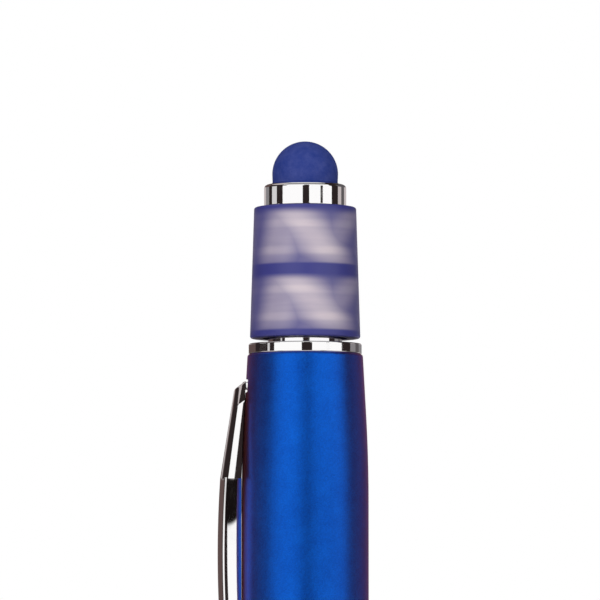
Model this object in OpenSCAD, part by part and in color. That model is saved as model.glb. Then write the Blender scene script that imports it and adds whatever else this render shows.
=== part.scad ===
// Twist ballpoint pen with a free-spinning sleeve and a touch stylus at its top.
// Millimetres. The pen lies along Z with its point down and its clip on the -X side.
// The origin is on the axis, at the middle of the lower barrel's straight stretch.

/* [Barrels] */
// Outer diameter of both barrels where they are straight
barrel_d = 12; // [11.4:0.1:13]
// Bore of the upper barrel and of the lower barrel's socket
barrel_bore = 9.6; // [9.2:0.1:10]
// Outer diameter of the upper barrel at its top rim
rim_d = 10.95; // [10.5:0.05:11.3]
// Height of the taper below the top rim
taper_len = 10; // [6:0.5:14]
// Half length of the curve that eases the taper into the straight wall
taper_blend = 4; // [1:0.5:5]
// Rounding of the barrels' outer rims
rim_round = 0.25; // [0.1:0.05:0.4]
// Length of the lower barrel
lower_len = 53; // [46:0.5:58]
// Straight stretch of the lower barrel, which a pen loop holds
grip_len = 20; // [14:0.5:24]
// Outer diameter of the lower barrel where it meets the nose cone
lower_end_d = 9.7; // [9:0.1:10.4]
// Bore of the lower barrel around the refill
lower_bore = 7; // [6.6:0.1:7.6]
// Depth of the socket for the mechanism tube in the lower barrel
socket_len = 12; // [8:0.5:16]

/* [Centre ring] */
// Height of the chrome band between the barrels
band_h = 4; // [2:0.25:6]
// How far the band stands out from the barrels
band_proud = 0.15; // [0:0.05:0.3]
// Diameter of the band's seat on the mechanism tube
band_seat_d = 9.1; // [8.6:0.05:9.1]

/* [Nose cone] */
// Visible length of the nose cone
nose_len = 13; // [10:0.5:16]
// Outer diameter at the mouth
mouth_d = 3.2; // [2.9:0.1:4]
// Length of the narrow bore at the mouth
mouth_len = 5.5; // [5.2:0.1:6]
// Height of the spring's seat above the mouth
spring_seat = 8; // [7:0.25:9]
// Bore above the spring's seat
spring_bore = 5.2; // [5.1:0.05:5.6]
// Length of the plug that screws into the lower barrel
nose_plug_len = 8; // [5:0.5:9]

/* [Refill] */
// Length of the whole refill with its ball
refill_len = 98.1; // [94:0.1:102]
// Diameter of the refill's body
refill_d = 5.8; // [5.4:0.1:6]
// Wall of the refill's body
refill_wall = 0.4; // [0.2:0.05:0.6]
// Diameter of the refill's narrow front
front_d = 3.4; // [3:0.1:3.6]
// Length of the narrow front
front_len = 16; // [15:0.25:18]
// Diameter of the brass tip
tip_d = 2.3; // [2:0.05:2.5]
// Length of the brass tip that shows below the front
tip_len = 9; // [8:0.25:10]
// Diameter of the tip's shank inside the front
shank_d = 1.8; // [1.4:0.1:2]
// Length of the tip's shank
shank_len = 4; // [2:0.25:6]
// Length of the cone at the end of the tip
point_cone = 2.4; // [1.6:0.1:3]
// Diameter of the writing ball
writing_ball_d = 0.8; // [0.5:0.05:1]
// Height of the tip's lip above the point, as a share of the ball's radius
lip_rise = 0.8; // [0.6:0.05:0.9]
// Radius of the tip's lip, as a share of the ball's radius
lip_reach = 1.2; // [1.1:0.05:1.4]
// Thickness of the plug's head at the top of the refill
plug_head = 1.2; // [0.8:0.1:2]
// Length of the plug inside the refill's body
plug_shank = 4; // [2:0.25:6]
// Depth of the point inside the mouth while it is drawn in
point_in = 1.8; // [1.2:0.1:2.4]
// Length of the point outside the mouth while it is out
point_out = 3.2; // [2.6:0.1:3.6]

/* [Return spring] */
// Diameter of the spring's wire
wire_d = 0.4; // [0.3:0.05:0.5]
// Mean diameter of the coil
coil_d = 4.4; // [4.2:0.05:4.6]
// Number of turns
coil_turns = 7; // [5:1:9]

/* [Twist mechanism] */
// Turn of the upper barrel that brings the point all the way out, in degrees
twist_angle = 120; // [100:5:125]
// Outer diameter of the mechanism tube
tube_d = 7.8; // [7.4:0.05:8]
// Bore of the mechanism tube
tube_bore = 6.5; // [6.3:0.05:6.7]
// Diameter of the follower's lugs
lug_d = 1.2; // [1:0.05:1.4]
// Height of the lugs above the refill's top
lug_rise = 5; // [4:0.25:7]
// Body of the follower above the lugs
follower_top = 1; // [0.6:0.1:2]
// Height of the guide bush
bush_h = 6; // [4:0.25:8]
// Thickness of the retaining ring
snap_h = 0.6; // [0.4:0.05:0.8]
// Depth of the retaining ring's groove
snap_depth = 0.3; // [0.2:0.02:0.35]
// Angle of the retaining ring's mouth
snap_mouth = 50; // [30:5:80]
// Room above the mechanism tube for the spindle's head
head_room = 2.8; // [2.6:0.1:4]
// Angle that the cam's ramps run on beyond the lug's path at each end
ramp_margin = 12; // [11:0.5:14]
// Angle over which the cam's end wall drops
wall_angle = 2; // [1:0.5:3]

/* [Top plug and neck ring] */
// Length of the plug in the top of the upper barrel
plug_len = 10.5; // [8:0.5:14]
// Depth of the neck ring's spigot in the barrel
spigot_len = 1.5; // [1:0.1:1.9]
// Diameter of the chrome neck ring
ring_d = 10.7; // [10.2:0.05:11]
// Height of the neck ring above the barrel's rim
ring_h = 1; // [0.6:0.05:1.6]
// Edge rounding of the neck ring
ring_round = 0.12; // [0.05:0.01:0.2]
// Diameter of the neck that shows below the sleeve
neck_d = 7; // [6.4:0.1:7.4]

/* [Spinner] */
// Gap between the neck ring and the sleeve
sleeve_gap = 0.5; // [0.3:0.05:0.8]
// Length of the spinning sleeve
sleeve_len = 12.45; // [11:0.05:15]
// Outer diameter of the sleeve at its lower end
sleeve_bottom_d = 10.45; // [10.1:0.05:11]
// Outer diameter of the sleeve at its upper end
sleeve_top_d = 9.7; // [9.3:0.05:10.4]
// Edge rounding of the sleeve
sleeve_round = 0.3; // [0.1:0.05:0.4]
// Depth of the lower bearing above the sleeve's lower end
lower_recess = 1.2; // [1:0.1:1.6]
// Depth of the upper bearing below the sleeve's upper end
upper_recess = 0.6; // [0.4:0.1:1]
// Inner wall of the shoulder between the bearings, counted from the bearings' seat
shoulder_wall = 0.6; // [0.3:0.05:0.7]

/* [Bearings] */
// Bore of the ball bearings
bearing_bore = 3; // [2.8:0.1:3.2]
// Outer diameter of the ball bearings
bearing_d = 8; // [7.8:0.05:8.2]
// Width of the ball bearings
bearing_w = 2.5; // [2.3:0.1:3]
// Diameter of the bearing balls
ball_d = 1.5; // [1.3:0.05:1.6]
// Balls in each bearing
ball_count = 7; // [6:1:8]
// Depth of the ball grooves at their middle
groove_depth = 0.25; // [0.15:0.01:0.3]
// Radial thickness of the ball cage
cage_wall = 0.6; // [0.4:0.05:0.7]
// Rim of the cage above the balls
cage_rim = 0.3; // [0.2:0.05:0.35]
// Reach of the cage's prongs below the balls' centres
cage_prong = 0.35; // [0.2:0.05:0.5]

/* [Spindle] */
// Diameter of the spindle's head
head_d = 5.4; // [4.6:0.1:6]
// Height of the spindle's head
head_h = 1.6; // [1.2:0.1:1.8]
// Width of the screwdriver slot in the head
slot_w = 0.8; // [0.5:0.05:1]
// Depth of the screwdriver slot
slot_depth = 0.7; // [0.4:0.05:0.8]

/* [Stylus] */
// Diameter of the chrome collar
collar_d = 7.8; // [7.4:0.05:8.2]
// Height of the collar's top above the sleeve
collar_h = 2.15; // [2:0.05:2.6]
// Edge rounding of the collar
collar_round = 0.35; // [0.1:0.05:0.4]
// Diameter of the rubber dome
stylus_d = 6.25; // [5.8:0.05:6.5]
// Height of the dome above the collar
stylus_h = 4.15; // [3.8:0.05:5]
// Depth of the dome's foot in the collar
stylus_in = 0.9; // [0.7:0.05:1]
// Wall of the hollow dome
stylus_wall = 0.6; // [0.4:0.05:1]
// Reach of the spindle into the collar's floor
spindle_reach = 0.6; // [0.4:0.05:0.7]

/* [Clip] */
// Depth of the clip's top below the rim
clip_top = 3.4; // [3.2:0.1:4.5]
// Depth of the crease below the rim, where the clip is widest
clip_crease = 11.8; // [10:0.1:14]
// Depth of the clip's lower end below the rim
clip_end = 37; // [32:0.5:42]
// Depth of the bow's outermost point below the rim
clip_bow_depth = 18.8; // [16:0.2:22]
// Height of the bow above the barrel's straight wall
clip_bow = 2.27; // [1.9:0.01:2.6]
// Height of the clip's outer face above the rim's edge at the clip's top
clip_top_rise = 1.25; // [1:0.05:1.5]
// Radius of the bow's outer face
clip_bow_r = 110; // [100:1:140]
// Width of the clip at its top
clip_top_w = 3.6; // [3.2:0.1:4.4]
// Width of the clip at the crease
clip_crease_w = 5; // [4.4:0.1:5.6]
// Width of the arm just below the crease
clip_arm_w = 4.4; // [4:0.1:5]
// Width of the clip above its rounded end
clip_end_w = 3.2; // [2.8:0.1:4]
// Height of the step from the head to the arm
clip_step = 0.08; // [0.05:0.01:0.2]
// Length of the rounded end
clip_tip_len = 1.5; // [1:0.1:2.5]
// Share of the width that is left at the very end
clip_tip_share = 0.55; // [0.4:0.05:0.8]
// Thickness of the clip's skin and flanges
clip_skin = 0.55; // [0.4:0.05:0.7]
// Drop of the outer face from its middle to its edges
clip_crown = 0.2; // [0.1:0.05:0.3]
// Rounding of the outer face's edges
clip_corner = 0.6; // [0.3:0.05:0.7]
// Amount by which each side draws in towards the barrel
clip_draft = 0.35; // [0.1:0.05:0.45]
// Depth of the shallow channel under the clip's solid ends
clip_channel = 0.06; // [0.04:0.01:0.1]
// Solid length at each end of the hollow underside
clip_solid = 2.5; // [1.5:0.25:4]
// Width of the tang
tang_w = 2.6; // [2:0.1:3]
// Thickness of the tang
tang_t = 0.7; // [0.5:0.05:0.9]
// Height of the tang's middle above the clip's top, as a share of the tang's thickness
tang_rise = 0.6; // [0.5:0.05:0.7]
// Length of the clip's root that the tang is part of
tang_root = 1; // [0.8:0.1:1.5]
// Inset of the tang's root from the clip's skin
tang_inset = 0.1; // [0.05:0.05:0.2]
// Depth of the tang's end inside the barrel's bore
tang_in = 1.5; // [1:0.1:1.7]

/* [Clearances] */
// Radial gap of pieces fixed in each other
fit_gap = 0.02; // [0.01:0.01:0.03]
// Radial gap of pieces that run in each other
run_gap = 0.06; // [0.04:0.01:0.09]
// End gap of turning pieces
end_gap = 0.1; // [0.06:0.01:0.15]
// Gap between the balls and their grooves
groove_gap = 0.02; // [0.01:0.01:0.04]
// Gap between the balls and the cage
pocket_gap = 0.05; // [0.03:0.01:0.07]
// Gap under the collar and around the neck
cover_gap = 0.15; // [0.12:0.01:0.3]
// Room for the tang's tilt in its window
tang_gap = 0.3; // [0.25:0.01:0.4]
// Gap between the clip's flanges and the line of the barrel
clip_gap = 0.08; // [0.05:0.01:0.15]

/* [Hidden] */
$fn = 96;

metallic_blue = "#0F4FBF";
plastic_blue = "#3C4699";
rubber_blue = "#2F3F92";
chrome = "#D8D8DA";
steel = "#A9ACB0";
brass = "#B8954A";
grey_plastic = "#8C9096";
pale_plastic = "#E6E2D8";

// Radii
barrel_r = barrel_d/2;
bore_r = barrel_bore/2;
rim_r = rim_d/2;
lower_end_r = lower_end_d/2;
band_seat_r = band_seat_d/2;
tube_r = tube_d/2;
tube_bore_r = tube_bore/2;
spindle_r = bearing_bore/2 - fit_gap;
fixed_r = bore_r - fit_gap;
seat_r = bearing_d/2 + fit_gap;
pitch_r = (bearing_bore + bearing_d)/4;
inner_shoulder_r = pitch_r - ball_d/2 + groove_depth;
outer_shoulder_r = pitch_r + ball_d/2 - groove_depth;
hub_r = inner_shoulder_r - run_gap;
lug_reach_r = fixed_r - run_gap*2;
arc_steps = 6;
long_steps = 14;
// How far a cut runs on past the solid that it is made in
cut_over = 1;

// Heights, from the parting line of the barrels outwards
z_part = grip_len/2;
z_lower_end = z_part - lower_len;
z_mouth = z_lower_end - nose_len;
z_band = z_part + band_h;
z_upper = z_band + end_gap;
z_bush = z_upper + bush_h;
z_snap = z_bush + end_gap;
travel = point_in + point_out;
z_point = z_mouth + point_in;
z_front = z_point + tip_len;
z_shoulder = z_front + front_len;
z_refill = z_point + refill_len;
z_lug = z_refill + lug_rise;
z_follower = z_lug + lug_d/2 + follower_top;
z_tube = z_follower + end_gap;
z_plug = z_tube + head_room;
z_rim = z_plug + plug_len + spigot_len;
z_ring = z_rim + ring_h;
z_sleeve = z_ring + sleeve_gap;
z_lower_bearing = z_sleeve + lower_recess;
z_neck = z_lower_bearing - cover_gap*2;
z_sleeve_top = z_sleeve + sleeve_len;
z_upper_bearing = z_sleeve_top - upper_recess - bearing_w;
z_collar = z_sleeve_top + cover_gap;
z_collar_top = z_sleeve_top + collar_h;
z_stylus_foot = z_collar_top - stylus_in;
z_spindle = z_collar + spindle_reach;
z_stylus = z_collar_top + stylus_h;

// Taper of the upper barrel, a cone that a large arc eases into the wall
taper_angle = atan((barrel_r - rim_r)/taper_len);
blend_r = taper_blend/tan(taper_angle/2);
z_blend = z_rim - taper_len - taper_blend;

// Sagging line of the lower barrel and of the nose cone, arcs that start along the axis
lower_bow_h = lower_len - grip_len;
lower_bow_d = barrel_r - lower_end_r;
lower_bow_r = (pow(lower_bow_h, 2) + pow(lower_bow_d, 2))/(2*lower_bow_d);
lower_bow_a = asin(lower_bow_h/lower_bow_r);
nose_bow_d = lower_end_r - mouth_d/2;
nose_bow_r = (pow(nose_len, 2) + pow(nose_bow_d, 2))/(2*nose_bow_d);
nose_bow_a = asin(nose_len/nose_bow_r);

// Points of an arc about a centre, from one angle to another
function arc(c, r, a0, a1, n = arc_steps) =
    [for (i = [0:n]) let (a = a0 + (a1 - a0)*i/n) [c[0] + r*cos(a), c[1] + r*sin(a)]];

// Solid of revolution about the pen's axis
module lathe(points) {
    rotate_extrude() polygon(points);
}

// Tube about the pen's axis, between two heights
module tube(r_in, r_out, z0, z1) {
    lathe([[r_in, z0], [r_out, z0], [r_out, z1], [r_in, z1]]);
}

// Window through the barrel's wall and the plug, in which the clip's tang sits
module tang_window() {
    depth = barrel_r - bore_r + tang_in + tang_gap + cut_over;
    translate([-barrel_r - cut_over, -tang_w/2 - tang_gap/2, z_tang - tang_t/2 - tang_gap])
        cube([depth, tang_w + tang_gap, tang_t + tang_gap*2]);
}

module lower_barrel() {
    color(metallic_blue)
        lathe(concat(
            [[lower_bore/2, z_lower_end]],
            arc([barrel_r - lower_bow_r, -grip_len/2], lower_bow_r, -lower_bow_a, 0, long_steps),
            arc([barrel_r - rim_round, z_part - rim_round], rim_round, 0, 90),
            [[bore_r, z_part], [bore_r, z_part - socket_len], [lower_bore/2, z_part - socket_len]]
        ));
}

module centre_ring() {
    r = barrel_r + band_proud;
    color(chrome)
        lathe(concat(
            [[band_seat_r + fit_gap, z_part]],
            arc([r - rim_round, z_part + rim_round], rim_round, -90, 0),
            arc([r - rim_round, z_band - rim_round], rim_round, 0, 90),
            [[band_seat_r + fit_gap, z_band]]
        ));
}

module nose_cone() {
    plug_r = lower_bore/2 - fit_gap;
    color(chrome)
        lathe(concat(
            [[tip_d/2 + run_gap, z_mouth]],
            arc([lower_end_r - nose_bow_r, z_lower_end], nose_bow_r, -nose_bow_a, 0, long_steps),
            [
                [plug_r, z_lower_end], [plug_r, z_lower_end + nose_plug_len],
                [spring_bore/2, z_lower_end + nose_plug_len], [spring_bore/2, z_mouth + spring_seat],
                [front_d/2 + cover_gap, z_mouth + spring_seat],
                [front_d/2 + cover_gap, z_mouth + mouth_len],
                [tip_d/2 + run_gap, z_mouth + mouth_len]
            ]
        ));
}

module mechanism_tube() {
    guide_w = lug_d + run_gap*2;
    guide_z = z_lug - travel - lug_d;
    color(grey_plastic)
        difference() {
            lathe([
                [tube_bore_r, z_part - socket_len], [fixed_r, z_part - socket_len], [fixed_r, z_part],
                [band_seat_r, z_part], [band_seat_r, z_band], [tube_r, z_band], [tube_r, z_snap],
                [tube_r - snap_depth, z_snap], [tube_r - snap_depth, z_snap + snap_h + end_gap],
                [tube_r, z_snap + snap_h + end_gap], [tube_r, z_tube], [tube_bore_r, z_tube]
            ]);
            translate([-barrel_r, -guide_w/2, guide_z])
                cube([barrel_d, guide_w, z_tube - guide_z + cut_over]);
        }
}

module retaining_ring() {
    color(steel)
        rotate(snap_mouth/2)
            rotate_extrude(angle = 360 - snap_mouth)
                translate([tube_r - snap_depth + fit_gap, z_snap + end_gap/2])
                    square([lug_reach_r - tube_r + snap_depth - fit_gap, snap_h]);
}

// Spring as one unbroken tube: rings of points along a helix
spring_rings = 8;
spring_sides = 6;
spring_count = spring_rings*coil_turns;
spring_z0 = z_mouth + spring_seat + wire_d/2 + fit_gap;
spring_z1 = z_shoulder - wire_d/2 - fit_gap;
function spring_centre(i) =
    let (a = 360*i/spring_rings)
    [coil_d/2*cos(a), coil_d/2*sin(a), spring_z0 + (spring_z1 - spring_z0)*i/spring_count];
spring_points = [
    for (i = [0:spring_count], s = [0:spring_sides - 1])
        let (a = 360*i/spring_rings, b = 360*s/spring_sides, r = coil_d/2 + wire_d/2*cos(b))
        [r*cos(a), r*sin(a), spring_centre(i)[2] + wire_d/2*sin(b)]
];
spring_faces = concat(
    [[for (s = [0:spring_sides - 1]) s]],
    [
        for (i = [0:spring_count - 1], s = [0:spring_sides - 1], half = [0:1])
            let (a = i*spring_sides + s, b = i*spring_sides + (s + 1)%spring_sides)
            half == 0 ? [a, a + spring_sides, b] : [b, a + spring_sides, b + spring_sides]
    ],
    [[for (s = [spring_sides - 1:-1:0]) spring_count*spring_sides + s]]
);
spring_least_gap = min([
    for (i = [0:spring_count - spring_rings])
        norm(spring_centre(i + spring_rings) - spring_centre(i)) - wire_d
]);
echo(spring_least_gap = spring_least_gap);

module return_spring() {
    color(steel) polyhedron(spring_points, spring_faces, convexity = 10);
}

module refill_tube() {
    channel_r = shank_d/2 + fit_gap;
    body_r = refill_d/2;
    color(grey_plastic)
        lathe([
            [channel_r, z_front], [front_d/2, z_front], [front_d/2, z_shoulder], [body_r, z_shoulder],
            [body_r, z_refill - plug_head], [body_r - refill_wall, z_refill - plug_head],
            [body_r - refill_wall, z_shoulder + refill_wall*2], [channel_r, z_shoulder + refill_wall*2]
        ]);
}

module refill_plug() {
    plug_r = refill_d/2 - refill_wall - fit_gap;
    color(pale_plastic)
        lathe([
            [0, z_refill - plug_head - plug_shank], [plug_r, z_refill - plug_head - plug_shank],
            [plug_r, z_refill - plug_head], [refill_d/2, z_refill - plug_head],
            [refill_d/2, z_refill], [0, z_refill]
        ]);
}

module refill_tip() {
    ball_r = writing_ball_d/2;
    color(brass)
        difference() {
            lathe([
                [0, z_point + ball_r*lip_rise], [ball_r*lip_reach, z_point + ball_r*lip_rise],
                [tip_d/2, z_point + point_cone], [tip_d/2, z_front], [shank_d/2, z_front],
                [shank_d/2, z_front + shank_len], [0, z_front + shank_len]
            ]);
            translate([0, 0, z_point + ball_r])
                sphere(ball_r + fit_gap);
        }
}

module writing_ball() {
    color(steel)
        translate([0, 0, z_point + writing_ball_d/2])
            sphere(d = writing_ball_d);
}

module cam_follower() {
    follower_r = tube_bore_r - run_gap;
    color(pale_plastic) {
        tube(0, follower_r, z_refill, z_follower);
        translate([-lug_reach_r, 0, z_lug])
            rotate([0, 90, 0])
                cylinder(d = lug_d, h = lug_reach_r*2);
    }
}

module upper_barrel() {
    color(metallic_blue)
        difference() {
            lathe(concat(
                [[bore_r, z_upper]],
                arc([barrel_r - rim_round, z_upper + rim_round], rim_round, -90, 0),
                arc([barrel_r - blend_r, z_blend], blend_r, 0, taper_angle, long_steps),
                arc([rim_r - rim_round, z_rim - rim_round], rim_round, taper_angle, 90),
                [[bore_r, z_rim]]
            ));
            tang_window();
        }
}

module guide_bush() {
    color(pale_plastic) tube(tube_r + run_gap, fixed_r, z_upper, z_bush);
}

// Cam: a ring whose lower edge falls along two helical ramps, each followed by an end wall.
// The lug's own radius, seen along the steepest ramp, sets the edge's height above the lug.
cam_in_r = tube_r + run_gap;
cam_slope = travel/(twist_angle*PI/180*cam_in_r);
cam_lift = lug_d/2*sqrt(1 + pow(cam_slope, 2)) + run_gap;
cam_step = 3;
function cam_edge(a) =
    let (t = (a + twist_angle + ramp_margin)%180, ramp = twist_angle + ramp_margin*2)
    let (low = z_lug + cam_lift - travel*(twist_angle + ramp_margin)/twist_angle)
    t <= ramp ? low + travel*t/twist_angle
        : t < ramp + wall_angle ? low + travel*ramp/twist_angle*(1 - (t - ramp)/wall_angle) : low;
cam_angles = [
    for (half = [0:1], a = [
        for (t = [0:cam_step:twist_angle + ramp_margin*2 - cam_step]) t,
        twist_angle + ramp_margin*2,
        for (t = [twist_angle + ramp_margin*2 + wall_angle:cam_step:180 - cam_step/2]) t
    ]) a + half*180 - twist_angle - ramp_margin + 360
];
cam_count = len(cam_angles);
cam_points = [
    for (a = cam_angles) each [
        [cam_in_r*cos(a), cam_in_r*sin(a), cam_edge(a)], [fixed_r*cos(a), fixed_r*sin(a), cam_edge(a)],
        [fixed_r*cos(a), fixed_r*sin(a), z_plug], [cam_in_r*cos(a), cam_in_r*sin(a), z_plug]
    ]
];
cam_faces = [
    for (i = [0:cam_count - 1], s = [0:3], half = [0:1])
        let (n = ((i + 1)%cam_count)*4, a = i*4 + s, b = i*4 + (s + 1)%4, c = n + s, d = n + (s + 1)%4)
        half == 0 ? [a, c, b] : [b, c, d]
];

module twist_cam() {
    color(pale_plastic)
        mirror([0, 1, 0])
            polyhedron(cam_points, cam_faces, convexity = 10);
}

module top_plug() {
    color(grey_plastic)
        difference() {
            tube(spindle_r + fit_gap, fixed_r, z_plug, z_rim - spigot_len);
            tang_window();
        }
}

module neck_ring() {
    r = ring_d/2;
    color(chrome)
        lathe(concat(
            [
                [spindle_r + fit_gap, z_rim - spigot_len], [fixed_r, z_rim - spigot_len], [fixed_r, z_rim]
            ],
            arc([r - ring_round, z_rim + ring_round], ring_round, -90, 0),
            arc([r - ring_round, z_ring - ring_round], ring_round, 0, 90),
            [
                [neck_d/2, z_ring], [neck_d/2, z_neck], [hub_r, z_neck],
                [hub_r, z_lower_bearing], [spindle_r + fit_gap, z_lower_bearing]
            ]
        ));
}

module spindle() {
    color(steel)
        difference() {
            lathe([
                [0, z_plug - head_h], [head_d/2, z_plug - head_h], [head_d/2, z_plug],
                [spindle_r, z_plug], [spindle_r, z_spindle], [0, z_spindle]
            ]);
            translate([-head_d, -slot_w/2, z_plug - head_h - cut_over])
                cube([head_d*2, slot_w, slot_depth + cut_over]);
        }
}

module bearing_spacer() {
    color(steel) tube(spindle_r + fit_gap, hub_r, z_lower_bearing + bearing_w, z_upper_bearing);
}

// Pieces of one ball bearing, whose lower face is at height z
module inner_ring(z) {
    color(steel)
        translate([0, 0, z + bearing_w/2])
            rotate_extrude()
                difference() {
                    translate([bearing_bore/2, -bearing_w/2])
                        square([inner_shoulder_r - bearing_bore/2, bearing_w]);
                    translate([pitch_r, 0])
                        circle(ball_d/2 + groove_gap);
                }
}

module outer_ring(z) {
    color(steel)
        translate([0, 0, z + bearing_w/2])
            rotate_extrude()
                difference() {
                    translate([outer_shoulder_r, -bearing_w/2])
                        square([bearing_d/2 - outer_shoulder_r, bearing_w]);
                    translate([pitch_r, 0])
                        circle(ball_d/2 + groove_gap);
                }
}

module ball_ring(z, r) {
    for (i = [0:ball_count - 1])
        rotate(360/ball_count*i)
            translate([pitch_r, 0, z + bearing_w/2])
                sphere(r);
}

module balls(z) {
    color(chrome) ball_ring(z, ball_d/2);
}

module cage(z) {
    pocket_r = ball_d/2 + pocket_gap;
    color(brass)
        difference() {
            tube(
                pitch_r - cage_wall/2, pitch_r + cage_wall/2,
                z + bearing_w/2 - cage_prong, z + bearing_w/2 + pocket_r + cage_rim
            );
            ball_ring(z, pocket_r);
        }
}

module lower_inner_ring() {
    inner_ring(z_lower_bearing);
}

module lower_outer_ring() {
    outer_ring(z_lower_bearing);
}

module lower_balls() {
    balls(z_lower_bearing);
}

module lower_cage() {
    cage(z_lower_bearing);
}

module upper_inner_ring() {
    inner_ring(z_upper_bearing);
}

module upper_outer_ring() {
    outer_ring(z_upper_bearing);
}

module upper_balls() {
    balls(z_upper_bearing);
}

module upper_cage() {
    cage(z_upper_bearing);
}

module spinner_sleeve() {
    shoulder_r = seat_r - shoulder_wall;
    color(plastic_blue)
        lathe(concat(
            [[seat_r, z_sleeve]],
            arc([sleeve_bottom_d/2 - sleeve_round, z_sleeve + sleeve_round], sleeve_round, -90, 0),
            arc([sleeve_top_d/2 - sleeve_round, z_sleeve_top - sleeve_round], sleeve_round, 0, 90),
            [
                [seat_r, z_sleeve_top], [seat_r, z_upper_bearing], [shoulder_r, z_upper_bearing],
                [shoulder_r, z_lower_bearing + bearing_w], [seat_r, z_lower_bearing + bearing_w]
            ]
        ));
}

module stylus_collar() {
    r = collar_d/2;
    color(chrome)
        lathe(concat(
            [
                [spindle_r + fit_gap, z_upper_bearing + bearing_w], [hub_r, z_upper_bearing + bearing_w],
                [hub_r, z_collar], [r, z_collar]
            ],
            arc([r - collar_round, z_collar_top - collar_round], collar_round, 0, 90),
            [
                [stylus_d/2 + fit_gap, z_collar_top], [stylus_d/2 + fit_gap, z_stylus_foot],
                [0, z_stylus_foot], [0, z_spindle], [spindle_r + fit_gap, z_spindle]
            ]
        ));
}

module stylus_tip() {
    r = stylus_d/2;
    z_dome = z_stylus - r;
    color(rubber_blue)
        difference() {
            union() {
                translate([0, 0, z_stylus_foot])
                    cylinder(r = r, h = z_dome - z_stylus_foot);
                translate([0, 0, z_dome])
                    sphere(r);
            }
            translate([0, 0, z_stylus_foot - r])
                cylinder(r = r - stylus_wall, h = z_dome - z_stylus_foot + r);
            translate([0, 0, z_dome])
                sphere(r - stylus_wall);
        }
}

// Clip: depths run down from the rim, heights run out from the pen's axis
z_tang = z_rim - clip_top + tang_t*tang_rise;
function mix(a, b, t) = a + (b - a)*t;
function barrel_line(d) = mix(rim_r, barrel_r, min(1, d/taper_len));
function clip_bowed(d) = barrel_r + clip_bow - pow(d - clip_bow_depth, 2)/(2*clip_bow_r);
clip_top_u = rim_r + clip_top_rise;
clip_head = clip_crease - clip_top;
clip_arm = clip_end - clip_crease - clip_step;
function clip_outer(d) =
    d < clip_crease ? mix(clip_top_u, clip_bowed(clip_crease), (d - clip_top)/clip_head) : clip_bowed(d);
function clip_inner(d) = barrel_line(d) + clip_gap;
function clip_width(d) =
    d <= clip_crease ? mix(clip_top_w, clip_crease_w, (d - clip_top)/clip_head)
        : mix(clip_arm_w, clip_end_w, (d - clip_crease - clip_step)/clip_arm);
function clip_half(d) =
    let (t = max(0, (d - clip_end + clip_tip_len)/clip_tip_len))
    clip_width(d)/2*mix(clip_tip_share, 1, sqrt(max(0, 1 - t*t)));
function clip_hollow(d) =
    let (room = clip_outer(d) - clip_inner(d) - clip_skin - clip_crown)
    let (from_top = d - clip_top - clip_solid, from_end = clip_end - clip_solid - d)
    max(clip_channel, room*min(clip_solid, from_top, from_end)/clip_solid);
// Largest share of a thin section's thickness or half-width that a corner, crown or draft takes
corner_share = 0.4;
bow_share = 0.25;
side_steps = 3;
corner_steps = 4;
crown_steps = 4;
// One flank of the clip's section, from its inner edge to the outer face
function clip_flank(d) =
    let (w = clip_half(d), u_in = clip_inner(d), u_out = clip_outer(d), t = u_out - u_in)
    let (crown = min(clip_crown, t*bow_share), draft = min(clip_draft, w*bow_share))
    let (r = min(clip_corner, t*corner_share, w*corner_share), u_c = u_out - crown - r)
    concat(
        [for (i = [0:side_steps - 1]) let (q = i/side_steps) [mix(u_in, u_c, q), w - draft*pow(1 - q, 2)]],
        [for (i = [0:corner_steps]) let (a = 90*i/corner_steps) [u_c + r*sin(a), w - r + r*cos(a)]]
    );
function clip_section(d) =
    let (flank = clip_flank(d), n = len(flank), u_in = clip_inner(d), roof = u_in + clip_hollow(d))
    let (w_in = flank[0][1] - min(clip_skin, flank[0][1]/2), top = flank[n - 1], u_out = clip_outer(d))
    concat(
        [for (p = flank) [p[0], -p[1]]],
        [
            for (i = [1:crown_steps - 1]) let (y = 2*i/crown_steps - 1)
                [mix(u_out, top[0], y*y), top[1]*y]
        ],
        [for (i = [n - 1:-1:0]) flank[i]],
        [[u_in, w_in], [roof, w_in], [roof, -w_in], [u_in, -w_in]]
    );
head_steps = 8;
arm_steps = 18;
tip_steps = 6;
clip_depths = [
    for (i = [0:head_steps]) clip_top + clip_head*i/head_steps,
    for (i = [0:arm_steps]) mix(clip_crease + clip_step, clip_end - clip_tip_len, i/arm_steps),
    for (i = [1:tip_steps]) clip_end - clip_tip_len + clip_tip_len*sin(90*i/tip_steps)
];
clip_points = [for (d = clip_depths) each [for (p = clip_section(d)) [-p[0], p[1], z_rim - d]]];
clip_sides = len(clip_section(clip_top));
clip_count = len(clip_depths);
clip_rim = clip_sides - 4;
clip_mid = floor(clip_rim/2);
clip_right = clip_rim + 1;
clip_left = clip_rim + 2;
clip_cap = concat(
    [[clip_left, clip_left + 1, 0]],
    [for (i = [0:clip_mid - 1]) [clip_left, i, i + 1]],
    [[clip_left, clip_mid, clip_right]],
    [for (i = [clip_mid:clip_rim - 1]) [clip_right, i, i + 1]]
);
clip_last = (clip_count - 1)*clip_sides;
clip_faces = concat(
    clip_cap,
    [
        for (i = [0:clip_count - 2], s = [0:clip_sides - 1], half = [0:1])
            let (a = i*clip_sides + s, b = i*clip_sides + (s + 1)%clip_sides)
            half == 0 ? [a, a + clip_sides, b] : [b, a + clip_sides, b + clip_sides]
    ],
    [for (t = clip_cap) [clip_last + t[2], clip_last + t[1], clip_last + t[0]]]
);

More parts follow.
